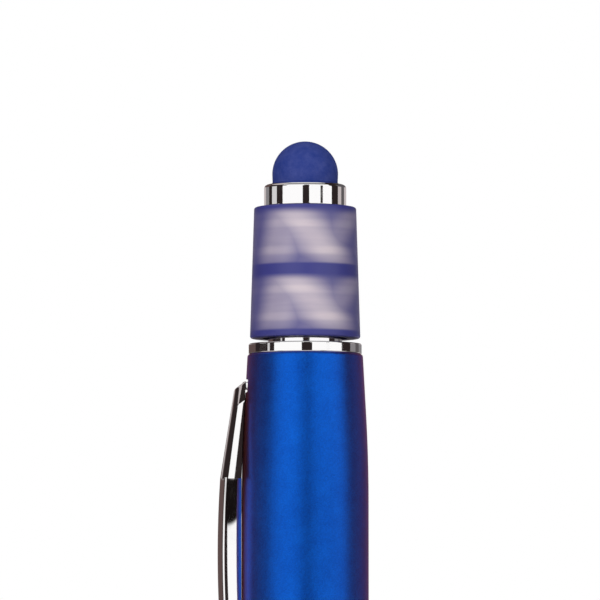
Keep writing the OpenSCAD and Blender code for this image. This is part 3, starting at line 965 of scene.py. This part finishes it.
@dataclass
class NeckRing:
    """Chrome flange on the barrel's rim and the neck that shows in the gap below the sleeve."""

    flange_round: float = 0.12 * MM
    spigot_radius: float = 4.78 * MM
    neck_radius: float = 3.5 * MM
    neck_top: float = 67.8 * MM
    flange_height: float = 1.0 * MM
    hub_radius: float = HUB_RADIUS
    bore_radius: float = SPINDLE_BORE

    def build(self) -> None:
        """Turns and fits the ring."""
        ring = Envelope.of("neck_ring")
        rim = Envelope.of("upper_barrel").top
        edge = ring.radius - self.flange_round
        top = rim + self.flange_height
        profile = [
            (self.bore_radius, ring.bottom),
            (self.spigot_radius, ring.bottom),
            (self.spigot_radius, rim),
            *arc((edge, rim + self.flange_round), self.flange_round, -90, 0, 6),
            *arc((edge, top - self.flange_round), self.flange_round, 0, 90, 6),
            (self.neck_radius, top),
            (self.neck_radius, self.neck_top),
            (self.hub_radius, self.neck_top),
            (self.hub_radius, ring.top),
            (self.bore_radius, ring.top),
        ]
        fit(turn("chrome_neck_ring", profile), "neck_ring", Body.UPPER, CHROME)


@dataclass
class Barrels:
    """Upper and lower lacquered barrels and the chrome ring between them."""

    bore: float = 4.8 * MM
    rim_radius: float = RIM_RADIUS
    taper_length: float = 10.0 * MM
    taper_blend: float = 4.0 * MM
    rim_round: float = 0.25 * MM
    grip_length: float = 20.0 * MM
    end_radius: float = 4.85 * MM
    lower_bore: float = 3.5 * MM
    socket: float = 12.0 * MM
    ring_bore: float = 4.57 * MM
    ring_groove: float = 0.12 * MM
    window_width: float = 2.9 * MM
    window_spare: float = 2.0 * MM
    window_round: float = 0.15 * MM
    tang_thick: float = TANG_THICK
    tang_play: float = 0.3 * MM

    def build(self) -> None:
        """Makes and fits both barrels and the ring."""
        self.upper()
        self.ring()
        self.lower()

    def upper(self) -> None:
        """Turns the upper barrel, its taper eased into the wall, and cuts the tang's window."""
        tube = Envelope.of("upper_barrel")
        slope = math.atan((tube.radius - self.rim_radius) / self.taper_length)
        blend = self.taper_blend / math.tan(slope / 2)
        bend = tube.top - self.taper_length - self.taper_blend
        lean = math.degrees(slope)
        foot = (tube.radius - self.rim_round, tube.bottom + self.rim_round)
        rim = (self.rim_radius - self.rim_round, tube.top - self.rim_round)
        profile = [
            (self.bore, tube.bottom),
            *arc(foot, self.rim_round, -90, 0, 6),
            *arc((tube.radius - blend, bend), blend, 0, lean, 16),
            *arc(rim, self.rim_round, lean, 90, 8),
            (self.bore, tube.top),
        ]
        piece = turn("blue_upper_barrel", profile)
        cut(piece, self.window())
        fit(piece, "upper_barrel", Body.UPPER, LACQUER)

    def window(self) -> bpy.types.Object:
        """Makes the block that cuts the tang's window.

        Returns:
            A bevelled block, longer than the barrel's wall is thick.
        """
        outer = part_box("upper_barrel")[1].x
        height = self.tang_thick + self.tang_play * 2
        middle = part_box("clip")[1].z - self.tang_thick / 2
        size = (outer - self.bore + self.window_spare, self.window_width, height)
        return block((-outer, 0.0, middle), size, self.window_round)

    def ring(self) -> None:
        """Turns the centre ring, rounded and with a fine groove round its middle."""
        band = Envelope.of("centre_ring")
        edge = band.radius - self.rim_round
        middle = (band.bottom + band.top) / 2
        profile = [
            (self.ring_bore, band.bottom),
            *arc((edge, band.bottom + self.rim_round), self.rim_round, -90, 0),
            *arc((band.radius, middle), self.ring_groove, 270, 90, 6),
            *arc((edge, band.top - self.rim_round), self.rim_round, 0, 90),
            (self.ring_bore, band.top),
        ]
        fit(turn("chrome_centre_ring", profile), "centre_ring", Body.LOWER, CHROME)

    def lower(self) -> None:
        """Turns the lower barrel: straight at the grip, then drawn in on a long arc."""
        tube = Envelope.of("lower_barrel")
        drop = tube.radius - self.end_radius
        run = tube.top - self.grip_length - tube.bottom
        bow = (run * run + drop * drop) / (2 * drop)
        start = -math.degrees(math.asin(run / bow))
        rim = (tube.radius - self.rim_round, tube.top - self.rim_round)
        profile = [
            (self.lower_bore, tube.bottom),
            *arc((tube.radius - bow, tube.top - self.grip_length), bow, start, 0, 24),
            *arc(rim, self.rim_round, 0, 90, 6),
            (self.bore, tube.top),
            (self.bore, tube.top - self.socket),
            (self.lower_bore, tube.top - self.socket),
        ]
        fit(turn("blue_lower_barrel", profile), "lower_barrel", Body.LOWER, LACQUER)


@dataclass
class Nose:
    """Chrome nose cone and the return spring that stands in it."""

    cone_length: float = 13.0 * MM
    cone_radius: float = 4.85 * MM
    plug_radius: float = 3.48 * MM
    mouth_radius: float = 1.6 * MM
    mouth_round: float = 0.2 * MM
    mouth_bore: float = 1.21 * MM
    mouth_length: float = 5.5 * MM
    front_bore: float = 1.9 * MM
    spring_seat: float = 8.0 * MM
    spring_bore: float = 2.6 * MM
    bow_end: float = 1.0 * MM
    step_foot: float = 0.5 * MM
    step_head: float = 0.35 * MM
    step_depth: float = 0.08 * MM
    wire: float = 0.4 * MM
    wire_sides: int = 10
    turns: int = 7
    turn_steps: int = 24
    stroke: float = 5.0 * MM

    def build(self) -> None:
        """Makes and fits the cone and the spring."""
        self.cone()
        self.spring()

    def cone(self) -> None:
        """Turns the cone, bowed from its mouth to the fine step below the barrel."""
        cone = Envelope.of("nose_cone")
        root = cone.bottom + self.cone_length
        drop = self.cone_radius - self.mouth_radius
        bow = (self.cone_length ** 2 + drop ** 2) / (2 * drop)
        start = -math.degrees(math.asin(self.cone_length / bow))
        finish = -math.degrees(math.asin(self.bow_end / bow))
        lip = (self.mouth_bore + self.mouth_round, cone.bottom + self.mouth_round)
        profile = [
            *arc(lip, self.mouth_round, 180, 270, 5),
            *arc((self.cone_radius - bow, root), bow, start, finish, 24),
            (self.cone_radius - self.step_depth, root - self.step_foot),
            (self.cone_radius, root - self.step_head),
            (self.cone_radius, root),
            (self.plug_radius, root),
            (self.plug_radius, cone.top),
            (self.spring_bore, cone.top),
            (self.spring_bore, cone.bottom + self.spring_seat),
            (self.front_bore, cone.bottom + self.spring_seat),
            (self.front_bore, cone.bottom + self.mouth_length),
            (self.mouth_bore, cone.bottom + self.mouth_length),
        ]
        fit(turn("chrome_nose_cone", profile), "nose_cone", Body.LOWER, CHROME)

    def spring(self) -> None:
        """Winds the spring's wire."""
        coil = Envelope.of("return_spring")
        middle = coil.radius - self.wire / 2
        height = coil.top - coil.bottom - self.wire
        deselect()
        bpy.ops.mesh.primitive_circle_add(
            vertices=self.wire_sides,
            radius=self.wire / 2,
            location=(middle, 0.0, coil.bottom + self.wire / 2),
            rotation=(math.pi / 2, 0.0, 0.0),
        )
        piece = bpy.context.object
        piece.name = "wound_return_spring"
        piece.data.name = piece.name
        bpy.ops.object.transform_apply(location=True, rotation=True, scale=True)
        helix = piece.modifiers.new("helix", "SCREW")
        helix.axis = "Z"
        helix.screw_offset = height / self.turns
        helix.iterations = self.turns
        helix.steps = self.turn_steps
        helix.render_steps = self.turn_steps
        bpy.ops.object.modifier_apply(modifier=helix.name)
        bpy.ops.object.mode_set(mode="EDIT")
        bpy.ops.mesh.select_all(action="SELECT")
        bpy.ops.mesh.remove_doubles(threshold=WELD)
        bpy.ops.mesh.fill_holes(sides=self.wire_sides)
        clean_mesh()
        fit(piece, "return_spring", Body.LOWER, STEEL)
        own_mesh(piece)


@dataclass(frozen=True)
class Section:
    """Section of the clip: a crowned face, a small corner and a flank that draws in.

    The flank leaves the corner at the lead angle and follows arcs, each up to its own angle in
    degrees and with its own radius. The depth takes its share of any change in width.
    """

    crown: float
    corner: float
    lead: float
    flank: tuple[tuple[float, float], ...]
    depth_share: float = 0.0
    face_steps: int = 5
    corner_steps: int = 8
    flank_steps: int = 9

    def points(self, half: float) -> list[Point]:
        """Works out the section's outline.

        Args:
            half: Half of the greatest width.

        Returns:
            Depth below the crest and place across the clip, once round.
        """
        tilt = 2 * math.atan(self.crown / (half - self.corner / 2))
        lead = math.radians(self.lead)
        deep = self.crown + self.corner * math.cos(tilt)
        root = half - self.corner
        edge = root + self.corner * math.sin(tilt)
        shares = [i / self.face_steps for i in range(self.face_steps)]
        side = [(self.crown * share ** 2, edge * share) for share in shares]
        for i in range(self.corner_steps + 1):
            a = tilt + (math.pi / 2 + lead - tilt) * i / self.corner_steps
            side.append((deep - self.corner * math.cos(a), root + self.corner * math.sin(a)))
        start = lead
        for sweep, bend in self.flank:
            depth, across = side[-1]
            end = math.radians(sweep)
            for i in range(1, self.flank_steps + 1):
                a = start + (end - start) * i / self.flank_steps
                down = bend * (math.sin(a) - math.sin(start))
                side.append((depth + down, across - bend * (math.cos(start) - math.cos(a))))
            start = end
        return [*side, *((p, -y) for p, y in reversed(side[1:]))]


@dataclass
class PocketClip:
    """Cast chrome clip: a wedge-shaped head, a bowed arm that steps in below it, and a tang."""

    top_depth: float = 3.4 * MM
    top_radius: float = 6.725 * MM
    top_reach: float = 1.0 * MM
    top_slope: float = 37.0
    top_length: float = 2.2 * MM
    top_blend: float = 0.3 * MM
    top_taper: float = 17.0
    top_edge: float = 0.3 * MM
    top_start: float = 35.0
    top_steps: int = 6
    crease_depth: float = 11.8 * MM
    crease_lap: float = 0.1 * MM
    bow_depth: float = 18.8 * MM
    bow_radius: float = 110.0 * MM
    rim_radius: float = RIM_RADIUS
    barrel_radius: float = 6.0 * MM
    gap: float = 0.055 * MM
    arm_gap: float = 0.025 * MM
    head_top_half: float = 1.8 * MM
    head_half: float = 2.5 * MM
    arm_half: float = 1.95 * MM
    end_half: float = 1.6 * MM
    scoop: float = 0.34 * MM
    scoop_length: float = 7.4 * MM
    scoop_steps: int = 14
    arm_steps: int = 16
    tip_length: float = 1.5 * MM
    tip_steps: int = 7
    tip_share: float = 0.55
    channel: tuple[float, float, float] = (1.6 * MM, 2.0 * MM, 15.0 * MM)
    channel_depth: float = 22.5 * MM
    channel_round: float = 0.2 * MM
    tang_reach: float = 3.3 * MM
    tang_width: float = 1.8 * MM
    tang_thick: float = TANG_THICK
    underside: float = 0.7
    tang_lap: float = 0.45 * MM
    tang_edge: float = 0.12 * MM
    head_section: Section = Section(0.1 * MM, 1.25 * MM, 1.5, ((6.0, 20.0 * MM),), 1.0)
    arm_section: Section = Section(0.45 * MM, 0.25 * MM, 5.0, ((40.0, 3.3 * MM),))

    def __post_init__(self) -> None:
        """Reads the rim's height and the clip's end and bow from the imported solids."""
        low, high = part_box("clip")
        self.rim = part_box("upper_barrel")[1].z
        self.end_depth = self.rim - low.z
        self.crest = -low.x
        self.tang_top = high.z

    def outer(self, depth: float) -> float:
        """Returns the crest's distance from the axis at a depth below the rim."""
        crease = self.crest - (self.crease_depth - self.bow_depth) ** 2 / (2 * self.bow_radius)
        if depth >= self.crease_depth:
            return self.crest - (depth - self.bow_depth) ** 2 / (2 * self.bow_radius)
        share = (depth - self.top_depth) / (self.crease_depth - self.top_depth)
        return self.top_radius + (crease - self.top_radius) * share

    def head_width(self, depth: float) -> float:
        """Returns half of the head's width, which grows towards the crease."""
        share = (depth - self.top_depth) / (self.crease_depth - self.top_depth)
        return self.head_top_half + (self.head_half - self.head_top_half) * share

    def top_narrowing(self, rise: float) -> float:
        """Returns how much narrower each side of the head's top is at a height above its start."""
        slope = math.tan(math.radians(self.top_taper))
        if rise < self.top_blend:
            return slope * rise * rise / (2 * self.top_blend)
        return slope * (rise - self.top_blend / 2)

    def arm_width(self, depth: float) -> float:
        """Returns half of the arm's width, with the scoop below the head and the rounded tip."""
        share = (depth - self.crease_depth) / (self.end_depth - self.crease_depth)
        left = max(0.0, 1 - (depth - self.crease_depth) / self.scoop_length)
        width = self.arm_half + (self.end_half - self.arm_half) * share + self.scoop * left * left
        into = min(1.0, max(0.0, 1 - (self.end_depth - depth) / self.tip_length))
        return width * (self.tip_share + (1 - self.tip_share) * math.sqrt(1 - into * into))

    def build(self) -> None:
        """Makes the head, the arm and the tang, joins them and fits the clip."""
        head = self.head()
        arm = self.arm()
        tang = self.tang()
        deselect()
        for part in (arm, tang, head):
            part.select_set(True)
        bpy.context.view_layer.objects.active = head
        bpy.ops.object.join()
        bpy.ops.object.shade_smooth_by_angle(angle=SMOOTH_ANGLE)
        fit(head, "clip", Body.CLIP, CHROME)
        # Faces towards the barrel take the dark finish: painted shade of the gap between clip and
        # barrel.
        head.data.materials.append(CLIP_GAP_SHADE.material())
        for face in head.data.polygons:
            if face.normal.x > self.underside:
                face.material_index = 1

    def head(self) -> bpy.types.Object:
        """Sweeps the head, slopes and rounds its top and trims it along the barrel.

        Returns:
            The finished head.
        """
        depths = [self.crease_depth, self.top_depth - self.top_reach]
        widths = [self.head_width(d) for d in depths]
        piece = self.sweep("chrome_clip", self.head_section, depths, widths)
        slope = math.radians(self.top_slope)
        up = (-math.sin(slope), 0.0, math.cos(slope))
        start = self.top_depth + self.top_length
        place = (-self.outer(start), 0.0, self.rim - start)
        bpy.ops.mesh.select_all(action="SELECT")
        bpy.ops.mesh.bisect(plane_co=place, plane_no=up, use_fill=True, clear_outer=True, threshold=WELD)
        shares = [i / self.top_steps for i in range(self.top_steps + 1)]
        rises = [*(self.top_blend * share for share in shares), self.top_length - self.top_edge / 2]
        depths = [start - rise for rise in rises]
        widths = [self.head_width(d) - self.top_narrowing(r) for d, r in zip(depths, rises)]
        self.extrude(depths, widths)
        rounds = [math.radians(self.top_start + (90 - self.top_start) * share) for share in shares]
        for a, b in zip(rounds, rounds[1:]):
            inwards = self.top_edge * (math.cos(a) - math.cos(b))
            upwards = self.top_edge * (math.sin(b) - math.sin(a))
            bpy.ops.mesh.inset(thickness=inwards, depth=upwards)
        lean = math.atan((self.barrel_radius - self.rim_radius) / self.crease_depth)
        self.trim((-self.rim_radius - self.gap, 0.0, self.rim), (math.cos(lean), 0.0, -math.sin(lean)))
        return piece

    def arm(self) -> bpy.types.Object:
        """Sweeps the arm, trims it along the barrel and sinks the channel into its underside.

        Returns:
            The finished arm.
        """
        start = self.crease_depth - self.crease_lap
        scoop_end = self.crease_depth + self.scoop_length
        tip = self.end_depth - self.tip_length
        depths = [start]
        for i in range(self.scoop_steps):
            depths.append(self.crease_depth + self.scoop_length * i / self.scoop_steps)
        for i in range(self.arm_steps):
            depths.append(scoop_end + (tip - scoop_end) * i / self.arm_steps)
        for i in range(self.tip_steps + 1):
            depths.append(tip + self.tip_length * math.sin(math.pi / 2 * i / self.tip_steps))
        widths = [self.arm_width(d) for d in depths]
        piece = self.sweep("clip_arm", self.arm_section, depths, widths)
        inner = -self.barrel_radius - self.arm_gap
        self.trim((inner, 0.0, 0.0), (1.0, 0.0, 0.0))
        middle = (inner, 0.0, self.rim - self.channel_depth)
        cut(piece, block(middle, self.channel, self.channel_round))
        return piece

    def sweep(
        self, name: str, section: Section, depths: list[float], widths: list[float]
    ) -> bpy.types.Object:
        """Extrudes a section along the clip, one depth after the other, and stays in edit mode.

        Args:
            name: Name of the new object.
            section: Section to sweep.
            depths: Depths below the rim, in order.
            widths: Half of the width at each depth.

        Returns:
            The swept stretch, closed at both ends.
        """
        first = depths[0]
        places = [(p - self.outer(first), y, self.rim - first) for p, y in section.points(widths[0])]
        piece = draw_chain(name, [*places, places[0]])
        bpy.ops.mesh.remove_doubles(threshold=WELD)
        bpy.ops.mesh.edge_face_add()
        self.extrude(depths, widths, section.depth_share)
        return piece

    def extrude(self, depths: list[float], widths: list[float], depth_share: float = 0.0) -> None:
        """Extrudes the selected end face along the clip's crest.

        Args:
            depths: Depths below the rim, in order, the first where the face is.
            widths: Half of the width at each depth.
            depth_share: How far the face's depth follows its width.
        """
        for i, depth in enumerate(depths[1:]):
            move = (self.outer(depths[i]) - self.outer(depth), 0.0, depths[i] - depth)
            bpy.ops.mesh.extrude_region_move(TRANSFORM_OT_translate={"value": move})
            ratio = widths[i + 1] / widths[i]
            bpy.ops.transform.resize(
                value=(1 + (ratio - 1) * depth_share, ratio, 1.0),
                center_override=(-self.outer(depth), 0.0, self.rim - depth),
            )

    def trim(self, place: tuple[float, float, float], normal: tuple[float, float, float]) -> None:
        """Cuts away what lies beyond a plane, closes the cut and leaves edit mode.

        Args:
            place: A point of the plane.
            normal: Direction of the side that goes.
        """
        bpy.ops.mesh.select_all(action="SELECT")
        bpy.ops.mesh.bisect(
            plane_co=place, plane_no=normal, use_fill=True, clear_outer=True, threshold=WELD
        )
        clean_mesh()

    def tang(self) -> bpy.types.Object:
        """Makes the tang: a strap with rounded edges that leads from the head into the barrel.

        Returns:
            The strap.
        """
        middle = self.tang_top - self.tang_thick / 2
        outer = self.rim_radius + self.tang_lap
        place = (-(outer + self.tang_reach) / 2, 0.0, middle)
        return block(place, (outer - self.tang_reach, self.tang_width, self.tang_thick), self.tang_edge)


@dataclass
class InnerWorks:
    """Solids inside the pen, whose shapes stay as packed."""

    nodes: dict[str, bpy.types.Object]

    def build(self) -> None:
        """Dresses each inner solid in its own finish."""
        finishes = {
            GREY_ACETAL: ("mechanism_tube", "top_plug"),
            PALE_NYLON: ("cam_follower", "guide_bush", "twist_cam", "refill_plug"),
            STEEL: (
                "retaining_ring", "writing_ball", "spindle", "bearing_spacer",
                "lower_inner_ring", "lower_outer_ring", "lower_balls",
                "upper_inner_ring", "upper_outer_ring", "upper_balls",
            ),
            DRAWN_TUBE: ("refill_tube",),
            BRASS: ("refill_tip", "lower_cage", "upper_cage"),
        }
        for finish, names in finishes.items():
            for name in names:
                solid = self.nodes[name]
                solid.data.materials.clear()
                solid.data.materials.append(finish.material())
                log.info("%s is dressed in %s", name, finish.name)


class Tone(Enum):
    """Radiance of the studio's cloths and flags, in linear red, green and blue."""

    SOFTBOX = (1.15, 1.15, 1.15)
    WHITE = (0.75, 0.74, 0.74)
    PALE = (0.6, 0.54, 0.54)
    GREY = (0.26, 0.25, 0.26)
    DIM = (0.12, 0.11, 0.115)
    WARM = (0.12, 0.08, 0.075)
    FLAG = (0.028, 0.02, 0.02)
    BLACK = (0.008, 0.006, 0.006)


@dataclass(frozen=True)
class Tier:
    """A ring of the studio's wall from one elevation up to the next tier's, in degrees.

    Each panel reaches from the one before it up to its own azimuth, counted from the camera to
    the right.
    """

    foot: float
    panels: tuple[tuple[float, Tone], ...]


@dataclass
class Studio:
    """Camera, surroundings, fill light and floor."""

    camera_distance: float = 446.0 * MM
    camera_height: float = 41.0 * MM
    target_height: float = 70.57 * MM
    target_x: float = -0.49 * MM
    frame_width: float = 56.87 * MM
    sensor: float = 36.0
    near_limit: float = 10.0 * MM
    floor_height: float = -60.0 * MM
    floor_radius: float = 160.0 * MM
    floor_sides: int = 96
    floor_fade: tuple[float, float] = (40.0 * MM, 144.0 * MM)
    floor_colour: str = "#F2F2F2"
    floor_roughness: float = 0.7
    fill_size: float = 300.0 * MM
    fills: tuple[tuple[float, tuple[float, float, float]], ...] = (
        (1.25, (-120.0 * MM, -520.0 * MM, 330.0 * MM)),
        (1.4, (160.0 * MM, 520.0 * MM, 250.0 * MM)),
    )
    blur: float = 0.4
    tiers: tuple[Tier, ...] = (
        Tier(
            -90.0,
            (
                (-165.0, Tone.PALE), (-105.0, Tone.DIM), (-62.0, Tone.PALE), (-48.0, Tone.DIM),
                (32.0, Tone.PALE), (46.0, Tone.DIM), (95.0, Tone.PALE), (140.0, Tone.DIM),
                (180.0, Tone.PALE),
            ),
        ),
        Tier(
            -12.0,
            (
                (-165.0, Tone.PALE), (-105.0, Tone.DIM), (-70.0, Tone.PALE), (-6.0, Tone.WHITE),
                (60.0, Tone.BLACK), (95.0, Tone.PALE), (140.0, Tone.DIM), (180.0, Tone.PALE),
            ),
        ),
        Tier(
            -5.0,
            (
                (-123.0, Tone.WARM), (-84.0, Tone.FLAG), (-78.0, Tone.WHITE), (-67.0, Tone.FLAG),
                (-8.0, Tone.SOFTBOX), (14.0, Tone.FLAG), (80.0, Tone.SOFTBOX), (105.0, Tone.FLAG),
                (124.0, Tone.GREY), (141.0, Tone.DIM), (180.0, Tone.GREY),
            ),
        ),
        Tier(
            4.1,
            (
                (-146.0, Tone.PALE), (-123.0, Tone.GREY), (-108.0, Tone.FLAG), (-88.0, Tone.WHITE),
                (-67.0, Tone.FLAG), (-8.0, Tone.SOFTBOX), (11.0, Tone.FLAG), (43.0, Tone.SOFTBOX),
                (50.0, Tone.FLAG), (80.0, Tone.SOFTBOX), (105.0, Tone.FLAG), (121.0, Tone.PALE),
                (142.0, Tone.DIM), (180.0, Tone.PALE),
            ),
        ),
        Tier(
            9.0,
            (
                (-123.0, Tone.WARM), (-54.0, Tone.FLAG), (-4.0, Tone.SOFTBOX), (10.0, Tone.FLAG),
                (73.0, Tone.SOFTBOX), (105.0, Tone.FLAG), (180.0, Tone.DIM),
            ),
        ),
        Tier(
            21.0,
            (
                (-123.0, Tone.WARM), (-67.0, Tone.FLAG), (73.0, Tone.SOFTBOX), (105.0, Tone.FLAG),
                (180.0, Tone.DIM),
            ),
        ),
        Tier(34.0, ((-140.0, Tone.FLAG), (-74.0, Tone.PALE), (180.0, Tone.FLAG))),
        Tier(60.0, ((180.0, Tone.WHITE),)),
    )

    def build(self) -> None:
        """Sets up the camera, the world, the fill light and the floor."""
        scene = bpy.context.scene
        scene.view_settings.view_transform = "Standard"
        self.camera()
        self.world()
        for power, place in self.fills:
            self.fill(power, place)
        self.floor()

    def camera(self) -> None:
        """Places the camera level with the middle of the barrel, tilted up at the sleeve."""
        rise = self.target_height - self.camera_height
        tilt = math.atan(rise / self.camera_distance)
        reach = math.hypot(rise, self.camera_distance)
        bpy.ops.object.camera_add(
            location=(self.target_x, -self.camera_distance, self.camera_height),
            rotation=(math.pi / 2 + tilt, 0.0, 0.0),
        )
        camera = bpy.context.object
        camera.data.sensor_width = self.sensor
        camera.data.lens = self.sensor * reach / self.frame_width
        camera.data.clip_start = self.near_limit
        bpy.context.scene.camera = camera

    def world(self) -> None:
        """Builds the surroundings: white, with cards before it that all but the camera see."""
        world = bpy.data.worlds.new("studio")
        world.use_nodes = True
        bpy.context.scene.world = world
        tree = world.node_tree
        direction = add(tree, "ShaderNodeTexCoord").outputs["Generated"]
        place = add(tree, "ShaderNodeSeparateXYZ", {"Vector": direction}).outputs
        front = add(tree, "ShaderNodeMath", {0: place["Y"], 1: -1.0}, operation="MULTIPLY")
        angle = add(tree, "ShaderNodeMath", {0: place["X"], 1: front.outputs[0]}, operation="ARCTAN2")
        share = add(
            tree,
            "ShaderNodeMath",
            {0: angle.outputs[0], 1: 1 / math.tau, 2: 0.5},
            operation="MULTIPLY_ADD",
        )
        wall = None
        for tier in self.tiers:
            starts = (-180.0, *(end for end, _ in tier.panels[:-1]))
            tones = [(*tone.value, 1.0) for _, tone in tier.panels]
            stops = [((a + 180) / 360, tone) for a, tone in zip(starts, tones)]
            stops.append((1.0, tones[-1]))
            ring = add(tree, "ShaderNodeValToRGB", {"Fac": share.outputs[0]}, stops=tuple(stops))
            ring.color_ramp.interpolation = "CONSTANT"
            if wall is None:
                wall = ring.outputs["Color"]
                continue
            low, high = (math.sin(math.radians(tier.foot + b)) for b in (-self.blur, self.blur))
            above = add(
                tree,
                "ShaderNodeMapRange",
                {"Value": place["Z"], 1: low, 2: high},
                interpolation_type="SMOOTHSTEP",
            )
            wall = add(
                tree,
                "ShaderNodeMix",
                {0: above.outputs[0], 6: wall, 7: ring.outputs["Color"]},
                data_type="RGBA",
            ).outputs[2]
        path = add(tree, "ShaderNodeLightPath")
        seen = add(
            tree,
            "ShaderNodeMix",
            {0: path.outputs["Is Camera Ray"], 6: wall, 7: (1.0, 1.0, 1.0, 1.0)},
            data_type="RGBA",
        )
        tree.links.new(seen.outputs[2], tree.nodes["Background"].inputs["Color"])

    def fill(self, power: float, place: tuple[float, float, float]) -> None:
        """Adds a soft lamp that lifts the matt colours and stays out of the chrome.

        Args:
            power: The lamp's power in watts.
            place: Where it stands.
        """
        bpy.ops.object.light_add(type="AREA", location=place)
        lamp = bpy.context.object
        lamp.name = "fill"
        lamp.data.size = self.fill_size
        lamp.data.energy = power
        x, y, z = place
        aim = z - self.target_height
        lamp.rotation_euler = (math.atan2(math.hypot(x, y), aim), 0.0, math.atan2(x, -y))
        lamp.visible_glossy = False

    def floor(self) -> None:
        """Lays a pale round floor, which fades to white towards its edge for camera and mirrors."""
        deselect()
        bpy.ops.mesh.primitive_circle_add(
            vertices=self.floor_sides,
            radius=self.floor_radius,
            fill_type="NGON",
            location=(0.0, 0.0, self.floor_height),
        )
        floor = bpy.context.object
        floor.name = "floor"
        material = bpy.data.materials.new("pale_floor")
        material.use_nodes = True
        tree = material.node_tree
        shader = tree.nodes["Principled BSDF"]
        coords = add(tree, "ShaderNodeTexCoord").outputs["Object"]
        away = add(tree, "ShaderNodeVectorMath", {0: coords}, operation="LENGTH")
        pale, white = self.floor_fade
        fade = add(
            tree,
            "ShaderNodeMapRange",
            {"Value": away.outputs["Value"], 1: pale, 2: white},
            interpolation_type="SMOOTHSTEP",
        )
        path = add(tree, "ShaderNodeLightPath").outputs
        mirrored = add(
            tree, "ShaderNodeMath", {0: path["Is Camera Ray"], 1: path["Is Glossy Ray"]}, operation="ADD"
        )
        direct = add(
            tree,
            "ShaderNodeMath",
            {0: mirrored.outputs[0], 1: path["Is Transmission Ray"]},
            operation="ADD",
        )
        seen = add(
            tree, "ShaderNodeMath", {0: fade.outputs[0], 1: direct.outputs[0]}, operation="MULTIPLY"
        )
        glow = add(tree, "ShaderNodeEmission", {"Color": (1.0, 1.0, 1.0, 1.0), "Strength": 1.0})
        mixed = add(
            tree, "ShaderNodeMixShader", {0: seen.outputs[0], 1: shader.outputs[0], 2: glow.outputs[0]}
        )
        tree.links.new(mixed.outputs[0], tree.nodes["Material Output"].inputs["Surface"])
        plug(
            tree,
            shader,
            {"Base Color": linear(self.floor_colour), "Roughness": self.floor_roughness},
        )
        floor.data.materials.append(material)


def main() -> None:
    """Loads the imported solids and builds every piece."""
    logging.basicConfig(level=logging.INFO, format="%(message)s")
    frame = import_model()
    Studio().build()
    StylusHead().build()
    Spinner().build()
    NeckRing().build()
    Barrels().build()
    Nose().build()
    PocketClip().build()
    InnerWorks(frame["nodes"]).build()


if __name__ == "__main__":
    main()
